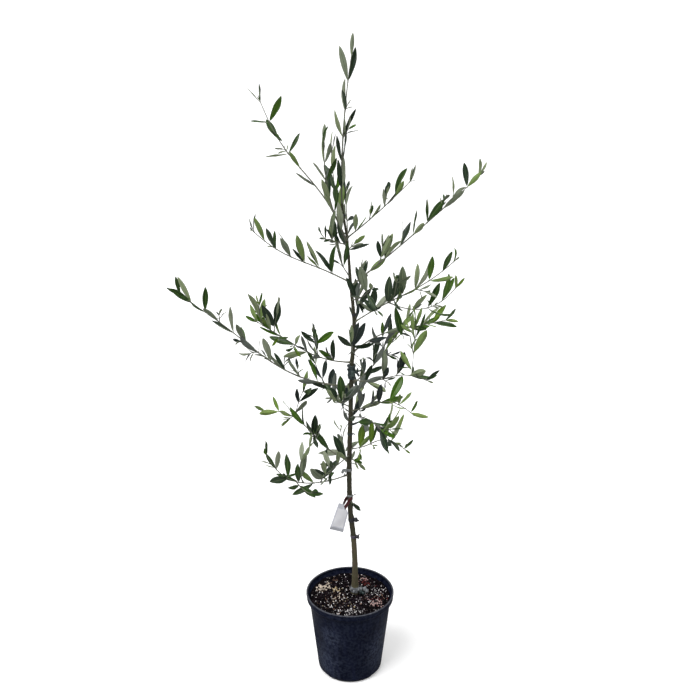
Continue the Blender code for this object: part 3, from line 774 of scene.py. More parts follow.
def nearbyGroup():
    # One at a chosen point, falling softly to nothing at the reach
    tree, entry, leave = newGroup("Nearby", {"Middle": (0.0, 0.0, 0.0), "Reach": 0.05}, ("Mask",))
    away = wire(tree, "ShaderNodeVectorMath", {0: entry["Place"], 1: entry["Middle"]}, operation="DISTANCE")
    values = {"Value": away.outputs["Value"], "From Min": entry["Reach"], "From Max": 0.0}
    fall = wire(tree, "ShaderNodeMapRange", values, interpolation_type="SMOOTHSTEP")
    tree.links.new(fall.outputs[0], leave["Mask"])
    return tree


mottle = mottleGroup()
streaks = streakGroup()
nearby = nearbyGroup()


def mottled(name, rough, colours, pattern, spread=None, bump=None, **constants):
    # A material that goes between two colours in soft blotches, with its roughness where it has a spread
    finish = Finish(name, rough, **constants)
    marks = finish.blotches(*pattern)
    finish.give("Base Color", finish.mix(marks["Mask"], *colours))
    if spread:
        finish.give("Roughness", finish.span(marks["Mask"], *spread))
    if bump:
        finish.bump(marks["Grain"], *bump)
    return finish.material


# Leaves

leafPlan = {
    "stations": (0, 0.03, 0.065, 0.10, 0.16, 0.24, 0.34, 0.45, 0.56, 0.67, 0.77, 0.86, 0.93, 0.975, 1.0),
    "columns": (-1, -0.72, -0.40, -0.055, 0, 0.055, 0.40, 0.72, 1),
    "youngStations": (0, 0.06, 0.12, 0.25, 0.45, 0.65, 0.85, 1.0),
    "youngColumns": (-1, -0.45, 0, 0.45, 1),
    "fullness": 0.72,
    "petioleEnd": 0.11,
    "petiole": 0.00050,
    "thick": 0.00045,
    "fold": (0.15, 0.80),
    "roll": (0.05, 0.25),
    "twist": 0.5,
    "wave": 0.012,
}
# Upper face, underside and midrib of each kind of leaf
leafTints = {
    # The first kind is painted shade: upper face, underside and midrib all darkened for leaves where shade
    # falls
    "dusk": ((0.017, 0.027, 0.025), (0.135, 0.152, 0.132), (0.060, 0.080, 0.062)),
    "deep": ((0.013, 0.029, 0.013), (0.190, 0.222, 0.152), (0.060, 0.095, 0.040)),
    "olive": ((0.027, 0.064, 0.012), (0.235, 0.284, 0.160), (0.110, 0.175, 0.050)),
    "fresh": ((0.050, 0.122, 0.008), (0.180, 0.262, 0.085), (0.150, 0.260, 0.045)),
    "lime": ((0.110, 0.200, 0.012), (0.230, 0.320, 0.095), (0.230, 0.350, 0.060)),
    "grey": ((0.034, 0.058, 0.030), (0.290, 0.325, 0.232), (0.150, 0.190, 0.095)),
    "silver": ((0.125, 0.160, 0.095), (0.390, 0.430, 0.325), (0.260, 0.305, 0.175)),
}
# How a spray's own tint is shared with the others
tintShares = {
    "deep": (("deep", 0.68), ("olive", 0.16), ("grey", 0.12), ("fresh", 0.04)),
    "olive": (("olive", 0.54), ("deep", 0.22), ("grey", 0.14), ("fresh", 0.10)),
    "fresh": (("fresh", 0.50), ("lime", 0.20), ("olive", 0.20), ("deep", 0.10)),
    "grey": (("grey", 0.46), ("silver", 0.14), ("olive", 0.22), ("deep", 0.18)),
    "silver": (("silver", 0.40), ("grey", 0.34), ("olive", 0.26)),
    "bright": (("olive", 0.28), ("fresh", 0.26), ("grey", 0.20), ("silver", 0.18), ("deep", 0.08)),
    # Dull sprays and shaded places take many leaves of painted shade
    "dull": (("dusk", 0.44), ("deep", 0.34), ("grey", 0.10), ("fresh", 0.12)),
    "shaded": (("dusk", 0.60), ("deep", 0.20), ("olive", 0.12), ("fresh", 0.08)),
    "sunlit": (("fresh", 0.50), ("lime", 0.24), ("olive", 0.26)),
}
# Sprays whose leaves are narrower than the rest
slimmer = {"leader": 0.70, "upright_left": 0.86, "long_left": 0.88}
# Leaves near the trunk inside the crown are darkened with painted shade, and the tips of the greenest sprays
# brighter
tintPlaces = {
    "inside": 0.14,
    "between": (0.66, 0.93),
    "tip": 0.68,
}


def leafMaterials(tint):
    made = []
    sides = (("Upper", 0.34, 0.26), ("Under", 0.65, 0.15), ("Rib", 0.5, 0.15))
    for colour, (side, rough, shine) in zip(leafTints[tint], sides):
        name = "Leaf " + tint + " " + side.lower()
        colours = [[min(channel * share, 1) for channel in colour] for share in (0.80, 1.22)]
        spread = (rough - 0.05, rough + 0.07)
        look = ((70, 900, 1.3), spread, (0.0001, 0.35))
        made.append(mottled(name, rough, colours, *look, Specular_IOR_Level=shine))
    return made


def addLeaf(bundle, leaf, rng, young=False):
    stations = np.array(leafPlan["youngStations" if young else "stations"])
    columns = np.array(leafPlan["youngColumns" if young else "columns"])
    root, direction, face = (np.array(v) for v in (leaf.root, leaf.direction, leaf.face))
    turn = leaf.curl * stations
    ahead = (np.sin(turn) / leaf.curl)[:, None] * direction
    aside = ((1 - np.cos(turn)) / leaf.curl)[:, None] * face
    middle = root + (ahead + aside) * leaf.length
    over = np.cos(turn)[:, None] * face - np.sin(turn)[:, None] * direction
    side = np.broadcast_to(np.cross(direction, face), over.shape)
    twist = rng.uniform(-1, 1) * leafPlan["twist"] * stations**1.4
    over, side = (
        over * np.cos(twist)[:, None] - side * np.sin(twist)[:, None],
        side * np.cos(twist)[:, None] + over * np.sin(twist)[:, None],
    )
    blade = leaf.width / 2 * np.sin(math.pi * stations**1.25).clip(0, 1) ** leafPlan["fullness"]
    stalk = np.clip((leafPlan["petioleEnd"] - stations) / 0.06, 0, 1)
    stalk = stalk * stalk * (3 - 2 * stalk)
    petiole = leafPlan["petiole"]
    half = blade * (1 - stalk) + petiole * stalk
    fold = rng.uniform(*leafPlan["fold"])
    roll = rng.uniform(*leafPlan["roll"])
    phase = rng.uniform(0, 2 * math.pi)
    wave = leafPlan["wave"] * leaf.length * np.sin(stations * 11 + phase)

    def skinRow(shares, sign):
        spread = np.abs(shares)
        lift = half[:, None] * (1 - stalk)[:, None] * (math.tan(fold) * spread - roll * spread**3)
        lift = lift + wave[:, None] * spread**2 * np.sign(shares) * np.sin(math.pi * stations)[:, None]
        body = leafPlan["thick"] * (1 - stations**4 * 0.7)[:, None] * (1 - 0.5 * spread**2)
        rib = 0.0005 * (1 - stations)[:, None] * np.exp(-((shares / 0.09) ** 2)) * (0.25 if sign > 0 else 1)
        rounded = petiole * np.sqrt(np.clip(1 - shares**2, 0, 1))
        height = sign * ((body / 2 + rib) * (1 - stalk)[:, None] + rounded * stalk[:, None])
        across = side[:, None] * (half[:, None] * shares)[:, :, None]
        return middle[:, None] + across + over[:, None] * (lift + height)[:, :, None]

    top = skinRow(columns, 1)
    bottom = skinRow(columns[-2:0:-1], -1)
    rings = np.concatenate([top, bottom], axis=1)
    rows, around = rings.shape[:2]
    count = len(columns)
    slots = np.where(np.arange(around) < count - 1, 0, 1)
    if not young:
        middleColumn = count // 2
        for rib in (middleColumn - 1, middleColumn, around - middleColumn - 1, around - middleColumn):
            slots[rib] = 2
    slots = np.broadcast_to(slots, (rows - 1, around)).copy()
    slots[: 2 if not young else 1] = 2
    bundle.add(rings, closedFaces(rows, around), (slots.ravel(), 2, 1))


def leafTint(rng, stem, leaf):
    low, high = tintPlaces["between"]
    out = (leaf.root - trunkMiddle(min(leaf.root.z, trunkTip))).xy.length
    share = (leaf.root - stem.point(0)).length / (stem.point(1) - stem.point(0)).length
    kind = stem.shoot.tint
    if kind in ("fresh", "bright", "dull") and share > tintPlaces["tip"]:
        kind = "olive" if kind == "dull" else "sunlit"
    # Near the trunk in the middle of the crown, leaves take painted shade
    elif out < tintPlaces["inside"] and low < leaf.root.z < high:
        kind = "shaded"
    names, weights = zip(*tintShares[kind])
    return rng.choices(names, weights)[0]


def makeLeaves():
    bundles = {tint: Bundle() for tint in leafTints}
    for name, stem in stems.items():
        rng = random.Random("tints " + name)
        towardTip = (stem.point(1) - stem.point(0)).normalized()
        for leaf in grownLeaves[name]:
            tint = leafTint(rng, stem, leaf)
            leaf = leaf._replace(width=leaf.width * slimmer.get(name, 1))
            facing = leaf.face.dot(towardTip * 0.7 + up * 0.7) + rng.gauss(0, 0.55)
            if facing < 0:
                leaf = leaf._replace(face=-leaf.face, curl=-leaf.curl)
            addLeaf(bundles[tint], leaf, rng)
        for leaf in youngLeaves[name]:
            tint = leafTint(rng, stem, leaf)
            addLeaf(bundles[tint], leaf, rng, young=leaf.length < finer["fullGrown"])
    sprays = ["spray_" + shoot.name for shoot in shoots if not shoot.parent]
    for tint, bundle in bundles.items():
        bundle.build("leaves_" + tint, leafMaterials(tint), "foliage", sprays)


makeLeaves()


# Trunk, boughs and twigs

barkShape = {
    "trunkSides": 36,
    "trunkStep": 0.0018,
    "boughSides": 12,
    "twigSides": 8,
    "twigStep": 0.0016,
    "sunk": 0.010,
    "relief": 0.055,
    "nodeEvery": 0.034,
    "nodeSwell": 0.07,
    "collarSwell": 0.9,
    "collarLength": 0.005,
    "lenticels": 420,
    "footTop": 0.366,
}


def barkMaterial(name, dark, light, lichen, scale, rough):
    finish = Finish(name, rough, Specular_IOR_Level=0.3)
    lines = finish.group(streaks, {"Scale": scale, "Stretch": 0.16, "Cut": 0.42})
    marks = finish.blotches(55, 700, 2.2)
    colour = finish.mix(lines["Line"], dark, light)
    colour = finish.mix(finish.span(marks["Mask"], 0.0, 0.75), colour, lichen)
    finish.give("Base Color", colour)
    finish.give("Roughness", finish.span(marks["Mask"], rough - 0.12, rough + 0.1))
    finish.bump(lines["Line"], 0.0006, 0.8)
    return finish.material


def makeTrunk(materials):
    bundle = Bundle()
    foot = soilTop - barkShape["sunk"]
    rows = int((trunkTip - foot) / barkShape["trunkStep"])
    sides = barkShape["trunkSides"]
    heights = np.linspace(foot, trunkTip + 0.001, rows)
    angles = np.linspace(0, 2 * math.pi, sides, endpoint=False)
    rings = np.zeros((rows, sides, 3))
    onTrunk = [stem for stem in stems.values() if not stem.shoot.parent]
    feet = [(stem.start.z, math.atan2(stem.out.y, stem.out.x), stem.thick) for stem in onTrunk]
    rng = random.Random(11)
    for i, height in enumerate(heights):
        middle = trunkMiddle(min(max(height, soilTop), trunkTip))
        radius = trunkRadius(max(height, soilTop - 0.002))
        off = (height - soilTop) % barkShape["nodeEvery"] - barkShape["nodeEvery"] / 2
        swell = 1 + barkShape["nodeSwell"] * math.exp(-((off / 0.0035) ** 2))
        for j, angle in enumerate(angles):
            place = (math.cos(angle), math.sin(angle), height * 22)
            relief = fractal(place, 2.6, 3) * barkShape["relief"]
            grown = radius * (swell + relief)
            for start, heading, thick in feet:
                if abs(height - start) < 0.02:
                    turn = abs((angle - heading + math.pi) % (2 * math.pi) - math.pi) / 0.7
                    above = (height - start - 0.002) / 0.0055
                    grown += thick * 0.8 * math.exp(-(turn**2) - above**2)
            rings[i, j] = middle.x + math.cos(angle) * grown, middle.y + math.sin(angle) * grown, height
    for _ in range(barkShape["lenticels"]):
        i = rng.randrange(4, rows - 2)
        j = rng.randrange(sides)
        out = rings[i, j] - np.array([*trunkMiddle(min(max(heights[i], soilTop), trunkTip)).xy, heights[i]])
        rings[i, j] += out / np.linalg.norm(out) * rng.uniform(0.0002, 0.0005)
    low = int((barkShape["footTop"] - foot) / (trunkTip - foot) * rows)
    addTube(bundle, rings[: low + 1], 1)
    addTube(bundle, rings[low:])
    bundle.build("trunk_bark", materials, "bark", ["trunk"])


def limbRings(stem, start, end, sides, step):
    onTrunk = not stem.shoot.parent and stem.shoot.name != "leader"
    count = max(6, int((end - start) * stem.length / step))
    shares = np.linspace(start, end, count)
    middles = np.array([stem.point(t) for t in shares])
    along = np.array([stem.along(t) for t in shares])
    across = np.array(stem.out.cross(up))
    overs = np.cross(across, along)
    acrosses = np.broadcast_to(across, overs.shape)
    base = trunkRadius(stem.shoot.foot) if onTrunk else stem.thick
    radii = []
    rng = random.Random("limb " + stem.shoot.name)
    for t, middle in zip(shares, middles):
        radius = stem.radius(t)
        away = (t * stem.length - base) / barkShape["collarLength"]
        if stem.shoot.name != "leader":
            radius *= 1 + barkShape["collarSwell"] * math.exp(-max(away, 0) ** 1.3)
        for node in stem.nodes:
            radius += 0.00045 * math.exp(-(((t - node) * stem.length / 0.0016) ** 2))
        relief = fractal(middle, 260, 2) * 0.10
        radii.append(radius * (1 + relief))
    radii = np.array(radii)[:, None] * (1 + np.array([rng.uniform(-0.05, 0.05) for _ in range(sides)]))
    return tubeRings(middles, acrosses, overs, radii, sides)


def makeLimbs(boughMaterial, twigMaterial):
    boughs = Bundle()
    twigs = Bundle()
    for stem in stems.values():
        shoot = stem.shoot
        sunk = 0.45 * trunkRadius(shoot.foot) / stem.length if not shoot.parent else 0.0
        if shoot.name == "leader":
            sunk = 0.0
        if shoot.bare:
            addTube(boughs, limbRings(stem, sunk, shoot.bare, barkShape["boughSides"], 0.0012))
            sunk = shoot.bare - 0.002 / stem.length
        addTube(twigs, limbRings(stem, sunk, 1.0, barkShape["twigSides"], barkShape["twigStep"]))
        addBud(twigs, stem.point(1.0), stem.along(0.99), 0.0035, 0.0009)
    for twiglet in twiglets:
        shares = np.linspace(0, 1, 7)
        along = (twiglet.end - twiglet.start).normalized()
        addRod(twigs, [twiglet.point(t) for t in shares], along, twiglet.thick * (1.3 - 0.4 * shares))
        addBud(twigs, twiglet.point(1.0), along, 0.0022, 0.0006)
    boughNodes = ["bough_" + shoot.name for shoot in shoots if shoot.bare]
    boughs.build("boughs_bark", [boughMaterial], "bark", boughNodes)
    sprays = ["spray_" + shoot.name for shoot in shoots if not shoot.parent]
    twigs.build("twigs", [twigMaterial], "foliage", sprays)


def addBud(bundle, root, along, length, radius):
    shares = np.array([-0.1, 0.15, 0.4, 0.7, 1.0])
    middles = np.array(root) + np.array(along) * length * shares[:, None]
    addRod(bundle, middles, along, radius * np.array([0.8, 1.0, 0.9, 0.5, 0.08]))


# Each bark: its fissures, its ridges, the lichen on it, and how fine and how rough it is
barks = {
    "Bark": ((0.020, 0.018, 0.011), (0.082, 0.068, 0.046), (0.052, 0.058, 0.034), 420, 0.82),
    "Foot bark": ((0.045, 0.036, 0.020), (0.150, 0.116, 0.078), (0.088, 0.094, 0.044), 420, 0.82),
    "Young bark": ((0.105, 0.100, 0.075), (0.230, 0.215, 0.170), (0.150, 0.165, 0.110), 700, 0.82),
    "Green twig": ((0.085, 0.086, 0.068), (0.190, 0.186, 0.155), (0.115, 0.130, 0.085), 900, 0.70),
}
barkFinishes = [barkMaterial(name, *bark) for name, bark in barks.items()]
trunkFinish, footFinish, boughFinish, twigFinish = barkFinishes
makeTrunk([trunkFinish, footFinish])
makeLimbs(boughFinish, twigFinish)


# Pot

potLook = {
    "sides": 216,
    "notches": 3,
    "notchWidth": 0.044,
    "notchHeight": 0.008,
    "notchDepth": 0.008,
    "lip": 0.0038,
    "groove": 0.0007,
    "flutes": 9,
    "fluteWidth": 0.0034,
    "fluteDepth": 0.0011,
    "fluteTop": 0.150,
}


def potProfile():
    # Radius and height of points from the middle of the underside, up the outside and down the inside
    size = potSize
    foot, hip, body, rim = size["foot"], size["hip"], size["body"], size["rim"]
    tall, wall, corner, hipTop = size["height"], size["wall"], size["corner"], size["hipHeight"]
    ledge = tall - size["collar"]
    lip, groove, notch = potLook["lip"], potLook["groove"], potLook["notchHeight"]
    outside = [(0.0, 0.0012), (foot - 0.012, 0.0012), (foot - 0.009, 0.0)]
    outside += [(foot - 0.0012, 0.0), (foot, 0.0004)]
    slope = (hip - foot) / hipTop
    for height in (notch - 0.0002, notch, hipTop - 0.0005):
        outside.append((foot + slope * height, height))
    start = hipTop + 0.0012
    for share in np.linspace(0, 1, 41):
        outside.append((hip + (body - hip) * share, start + (ledge - start - 0.002) * share))
    outside += [(body + 0.0004, ledge - 0.0012), (body + 0.0014, ledge - 0.0004)]
    outer = rim - corner
    outside += [(outer - 0.0008, ledge), (outer, ledge + 0.0004), (outer + 0.0003, ledge + 0.0015)]
    rise = size["collar"] - lip - 0.003
    for share in np.linspace(0.15, 1, 8):
        outside.append((outer + 0.0003 + (corner - 0.0010) * share, ledge + rise * share))
    top = tall - lip
    neck = rim - groove - 0.0006
    outside += [(neck, top - 0.0011), (neck, top - 0.0004), (rim - 0.0003, top), (rim, top + 0.0008)]
    outside += [(rim, tall - 0.0012), (rim - 0.0004, tall - 0.0003), (rim - 0.0011, tall)]
    inner = rim - size["lip"]
    inside = [(inner + 0.0016, tall), (inner + 0.0006, tall - 0.0004), (inner, tall - 0.0014)]
    inside += [(inner + 0.0004, tall - 0.0030), (rim - wall, tall - 2 * size["lip"])]
    inside += [(body - wall + 0.0010, ledge + 0.0010), (body - wall, ledge - 0.002)]
    inside += [(foot - wall, size["floor"]), (0.0, size["floor"])]
    return outside, inside


def makePot(materials):
    outside, inside = potProfile()
    profile = np.array(outside + inside)
    half = math.degrees(math.asin(potLook["notchWidth"] / 2 / potSize["hip"]))
    turn = 360 / potLook["notches"]
    edges = [(k + 0.75) * turn + side for k in range(potLook["notches"]) for side in (-half, half)]
    angles = list(np.arange(potLook["sides"]) * 360 / potLook["sides"])
    angles = sorted(set(angles + [edge - 0.25 for edge in edges] + [edge + 0.25 for edge in edges]))
    rings = []
    fluted = 0.5 * potLook["flutes"] * potLook["fluteWidth"] / potSize["hip"]
    for angle in angles:
        around = math.radians(angle)
        sector = (angle - 0.75 * turn) % turn
        sector = min(sector, turn - sector)
        notched = sector < half
        column = []
        for k, (radius, height) in enumerate(profile):
            if k < len(outside):
                share = math.radians((angle + 22) % 90 - 45) / fluted
                if abs(share) < 1 and 0.012 < height < potLook["fluteTop"]:
                    dip = 0.5 - 0.5 * math.cos(2 * math.pi * (share * potLook["flutes"] / 2 + 0.5))
                    fade = min(1, (potLook["fluteTop"] - height) / 0.012)
                    radius -= potLook["fluteDepth"] * dip * fade
                if notched and 3 <= k <= 5:
                    radius = potSize["foot"] - potLook["notchDepth"]
                if notched and k == 5:
                    height = potLook["notchHeight"] - 0.0002
                if notched and k == 2:
                    radius -= 0.003
            column.append((radius * math.cos(around), radius * math.sin(around), height))
        rings.append(column)
    rings = np.array(rings)
    bundle = Bundle()
    columns = len(profile)
    faces = gridFaces(len(angles) + 1, columns, around=False) % (len(angles) * columns)
    # The faces over the rim's top take the second material, a painted highlight along the lip
    lipHighlight = [1 if len(outside) - 3 <= k < len(outside) + 2 else 0 for k in range(columns - 1)]
    bundle.add(rings, [faces], (np.tile(lipHighlight, len(angles)),))
    pot = bundle.build("pot_shell", materials, "black_plastic", ["pot"])
    mesh = bmesh.new()
    mesh.from_mesh(pot.data)
    bmesh.ops.remove_doubles(mesh, verts=mesh.verts, dist=1e-6)
    bmesh.ops.dissolve_degenerate(mesh, edges=mesh.edges, dist=1e-7)
    mesh.to_mesh(pot.data)
    mesh.free()
    return pot


# Where the pot is paler, with more dust and scuffs, and how far each patch reaches: low left, high left and
# right
palerSpots = (
    ((-0.070, -0.060, 0.050), 0.075),
    ((-0.050, -0.085, 0.135), 0.045),
    ((0.088, -0.040, 0.085), 0.085),
)


def potMaterial(name, dark, streaked, dustColour, scuffColour, dustShare, scuffShare):
    finish = Finish(name, 0.45, Specular_IOR_Level=0.035)
    drips = finish.group(streaks, {"Scale": 95, "Stretch": 0.05, "Cut": 0.46})
    dust = finish.blotches(24, 260, 3.4)
    scuffs = finish.blotches(150, 420, 6.0)
    patches = [finish.group(nearby, {"Middle": spot, "Reach": reach}) for spot, reach in palerSpots]
    low, high, right = (patch["Mask"] for patch in patches)
    right = finish.maths("MULTIPLY", right, 1.5)
    paler = finish.maths("ADD", finish.maths("ADD", finish.maths("ADD", low, high), right), 0.30)
    dusted = finish.maths("MULTIPLY", finish.maths("MULTIPLY", dust["Mask"], paler), dustShare)
    scuffed = finish.maths("MULTIPLY", finish.maths("MULTIPLY", scuffs["Mask"], paler), scuffShare)
    colour = finish.mix(drips["Mask"], dark, streaked)
    colour = finish.mix(dusted, colour, dustColour)
    colour = finish.mix(scuffed, colour, scuffColour)
    finish.give("Base Color", colour)
    finish.give("Roughness", finish.span(dust["Mask"], 0.38, 0.56))
    finish.bump(scuffs["Grain"], 0.0002, 0.35)
    return finish.material


makePot([
    potMaterial("Nursery plastic", (0.0018, 0.0032, 0.0125), (0.0080, 0.0105, 0.0290),
                (0.026, 0.033, 0.064), (0.075, 0.092, 0.135), 0.52, 0.40),
    # The second material is a painted highlight along the lip, with dust and scuffs on it
    potMaterial("Worn lip", (0.045, 0.048, 0.060), (0.092, 0.096, 0.114),
                (0.110, 0.114, 0.134), (0.180, 0.185, 0.205), 0.55, 0.45),
])


# Soil

soilLook = {
    "rings": 62,
    "sides": 150,
    "clump": 0.0022,
}
# Each kind of grain: the piece that it belongs to, its colour and how rough it is
grainKinds = {
    "soot": ("crumbs", (0.0040, 0.0028, 0.0036), 0.95),
    "plum": ("crumbs", (0.0150, 0.0090, 0.0130), 0.95),
    "brown": ("crumbs", (0.0400, 0.0230, 0.0170), 0.95),
    "ash": ("crumbs", (0.0600, 0.0540, 0.0580), 0.90),
    "white": ("grains", (0.660, 0.640, 0.640), 0.85),
    "dull": ("grains", (0.260, 0.245, 0.250), 0.85),
    "cream": ("grains", (0.540, 0.460, 0.380), 0.80),
    "ochre": ("grains", (0.400, 0.320, 0.200), 0.80),
    "pink": ("grains", (0.420, 0.290, 0.275), 0.80),
    "bark": ("chips", (0.018, 0.012, 0.016), 0.85),
    "slate": ("chips", (0.100, 0.090, 0.098), 0.85),
    "red": ("chips", (0.075, 0.016, 0.016), 0.80),
    "straw": ("chips", (0.200, 0.120, 0.090), 0.75),
}
# What lies on the soil: kind, shape, how many, smallest and largest, and the patch as right, back and
# spread, where None is all over
soilMix = (
    ("soot", "crumb", 1250, 0.0008, 0.0030, None),
    ("plum", "crumb", 420, 0.0007, 0.0024, None),
    ("ash", "crumb", 330, 0.0005, 0.0013, None),
    ("brown", "crumb", 160, 0.0006, 0.0019, None),
    ("brown", "crumb", 190, 0.0007, 0.0022, (-0.028, -0.016, 0.018)),
    ("plum", "crumb", 120, 0.0010, 0.0026, (0.022, -0.026, 0.014)),
    ("white", "pebble", 130, 0.0009, 0.0019, None),
    ("dull", "pebble", 180, 0.0007, 0.0016, None),
    ("white", "pebble", 34, 0.0009, 0.0019, (-0.012, -0.076, 0.013)),
    ("dull", "pebble", 60, 0.0008, 0.0017, (0.004, -0.074, 0.022)),
    ("cream", "pebble", 46, 0.0011, 0.0027, (-0.062, 0.034, 0.0080)),
    ("ochre", "pebble", 26, 0.0010, 0.0023, (-0.036, 0.025, 0.0075)),
    ("cream", "pebble", 26, 0.0010, 0.0022, (-0.032, -0.008, 0.0130)),
    ("pink", "pebble", 36, 0.0010, 0.0024, (0.066, -0.034, 0.0080)),
    ("pink", "pebble", 20, 0.0009, 0.0021, (0.034, 0.070, 0.0080)),
    ("white", "pebble", 20, 0.0009, 0.0018, (0.076, 0.020, 0.0110)),
    ("pink", "pebble", 18, 0.0008, 0.0016, (0.054, 0.000, 0.0200)),
    ("ochre", "pebble", 14, 0.0008, 0.0018, (-0.020, -0.030, 0.0200)),
    ("bark", "flake", 34, 0.0030, 0.0070, None),
    ("slate", "flake", 9, 0.0032, 0.0056, (0.026, -0.016, 0.0110)),
    ("red", "flake", 22, 0.0024, 0.0050, (0.036, 0.056, 0.0090)),
    ("red", "flake", 5, 0.0022, 0.0040, (0.062, -0.028, 0.0080)),
    ("straw", "flake", 9, 0.0020, 0.0040, None),
    ("straw", "stick", 9, 0.0060, 0.0140, None),
    ("bark", "stick", 12, 0.0070, 0.0180, None),
    ("straw", "stick", 3, 0.0150, 0.0200, (0.083, -0.012, 0.0040)),
    ("red", "stick", 3, 0.0120, 0.0180, (0.083, -0.016, 0.0050)),
)


def innerRadius(height):
    low = potSize["foot"] - potSize["wall"]
    high = potSize["body"] - potSize["wall"]
    tall = potSize["height"] - potSize["collar"] - potSize["floor"]
    return low + (high - low) * (height - potSize["floor"]) / tall


def soilHeight(x, y):
    foot = trunkMiddle(soilTop)
    place = Vector((x, y, 0))
    away = min(max((place.xy - foot.xy).length / 0.02 - 0.6, 0), 1)
    lumps = noise.noise(place * 62) * 1.3 + noise.noise(place * 170) * 0.7 + noise.noise(place * 520) * 0.35
    return soilTop + soilLook["clump"] * (lumps * (0.35 + 0.65 * away))


def makeSoil(material):
    bundle = Bundle()
    rings, sides = soilLook["rings"], soilLook["sides"]
    edge = innerRadius(soilTop) - gap
    angles = np.linspace(0, 2 * math.pi, sides, endpoint=False)
    points = []
    for i in range(1, rings + 1):
        radius = edge * i / rings
        points.append([(radius * math.cos(a), radius * math.sin(a), 0) for a in angles])
    points = np.array(points)
    for row in points:
        for point in row:
            point[2] = soilHeight(point[0], point[1])
    floor = potSize["floor"] + gap
    low = innerRadius(floor) - gap
    under = [(low * math.cos(a), low * math.sin(a), floor) for a in angles]
    bundle.add(np.concatenate([points, np.array([under])]), closedFaces(rings + 1, sides))
    bundle.build("soil_surface", [material], "soil", ["soil"])


def roundShape(level):
    # Points and faces of an even ball, for pebbles and crumbs
    mesh = bmesh.new()
    bmesh.ops.create_icosphere(mesh, subdivisions=level, radius=1)
    points = np.array([vertex.co[:] for vertex in mesh.verts])
    faces = np.array([[vertex.index for vertex in face.verts] for face in mesh.faces])
    mesh.free()
    return points, faces


ballCoarse = roundShape(1)
ballFine = roundShape(2)


def addPebble(bundle, centre, size, rng, rough=0.22, slot=0, ball=ballCoarse, flat=False):
    points, faces = ball
    seed = Vector((rng.uniform(0, 90), rng.uniform(0, 90), rng.uniform(0, 90)))
    bumps = np.array([1 + rough * 1.6 * noise.noise(Vector(p) * 1.7 + seed) for p in points])
    shaped = points * bumps[:, None] * np.array(size)
    least, most = (-0.35, 0.35) if flat else (0, 6)
    tilt = (rng.uniform(least, most), rng.uniform(least, most))
    turn = np.array(Euler((*tilt, rng.uniform(0, 6.28))).to_matrix())
    bundle.add(shaped @ turn.T + np.array(centre), [faces], (slot,))


def soilPlace(rng, patch):
    edge = innerRadius(soilTop) - 0.003
    foot = trunkMiddle(soilTop)
    while True:
        if patch:
            x, y = rng.gauss(patch[0], patch[2]), rng.gauss(patch[1], patch[2])
        else:
            radius, angle = edge * math.sqrt(rng.random()), rng.uniform(0, 2 * math.pi)
            x, y = radius * math.cos(angle), radius * math.sin(angle)
        clear = math.hypot(x - foot.x, y - foot.y) > trunkRadius(soilTop) + 0.002
        if clear and math.hypot(x, y) < edge:
            return x, y


def addStick(bundle, x, y, long, rng, slot):
    heading = rng.uniform(0, math.pi) if x < 0.075 else rng.gauss(1.75, 0.2)
    along = Vector((math.cos(heading), math.sin(heading), rng.uniform(-0.05, 0.12))).normalized()
    middle = Vector((x, y, soilHeight(x, y) + 0.0018))
    shares = np.linspace(-0.5, 0.5, 9)
    middles = np.array([middle + along * long * t + up * 0.0006 * math.sin(6 * t + x * 900) for t in shares])
    if np.hypot(middles[:, 0], middles[:, 1]).max() > innerRadius(soilTop) - 0.002:
        return
    radii = rng.uniform(0.0005, 0.0010) * (1 + 0.25 * np.sin(shares * 9 + x * 500))
    addRod(bundle, middles, along, radii, slot)


def makeGrains():
    rng = random.Random(23)
    bundles = {"crumbs": Bundle(), "grains": Bundle(), "chips": Bundle()}
    kinds = {piece: [kind for kind in grainKinds if grainKinds[kind][0] == piece] for piece in bundles}
    for kind, form, count, least, most, patch in soilMix:
        piece = grainKinds[kind][0]
        slot = kinds[piece].index(kind)
        for _ in range(count):
            x, y = soilPlace(rng, patch)
            size = rng.uniform(least, most)
            ground = soilHeight(x, y)
            if form == "stick":
                addStick(bundles[piece], x, y, size, rng, slot)
            elif form == "flake":
                shape = (size, size * rng.uniform(0.35, 0.7), rng.uniform(0.0006, 0.0012))
                centre = (x, y, ground + 0.0012)
                addPebble(bundles[piece], centre, shape, rng, 0.25, slot, ballFine, flat=True)
            else:
                shape = [size * rng.uniform(0.7, 1.25) for _ in range(3)]
                rise = 0.3 if form == "crumb" else 0.6
                ball = ballCoarse if form == "crumb" else ballFine
                addPebble(bundles[piece], (x, y, ground + size * rise), shape, rng, 0.35, slot, ball)
    for piece, bundle in bundles.items():
        own = kinds[piece]
        finishes = [grainMaterial(kind.capitalize() + " grain", *grainKinds[kind][1:]) for kind in own]
        bundle.build("soil_" + piece, finishes, "soil")


def grainMaterial(name, colour, rough, spread=0.3):
    colours = [[min(channel * share, 0.95) for channel in colour] for share in (1 - spread, 1 + spread)]
    roughness = (rough - 0.15, rough)
    return mottled(name, rough, colours, (260, 1800, 2.0), roughness, (0.0003, 0.8), Specular_IOR_Level=0.04)


makeSoil(grainMaterial("Soil", (0.0040, 0.0028, 0.0036), 0.95, 0.6))
makeGrains()


# Ties, strap and tag


def smoothPath(points, count):
    # Evenly numbered places on a smooth curve through these points
    rows = [(i, *point) for i, point in enumerate(points)]
    return np.array([smoothBetween(rows, t) for t in np.linspace(0, len(points) - 1, count)])


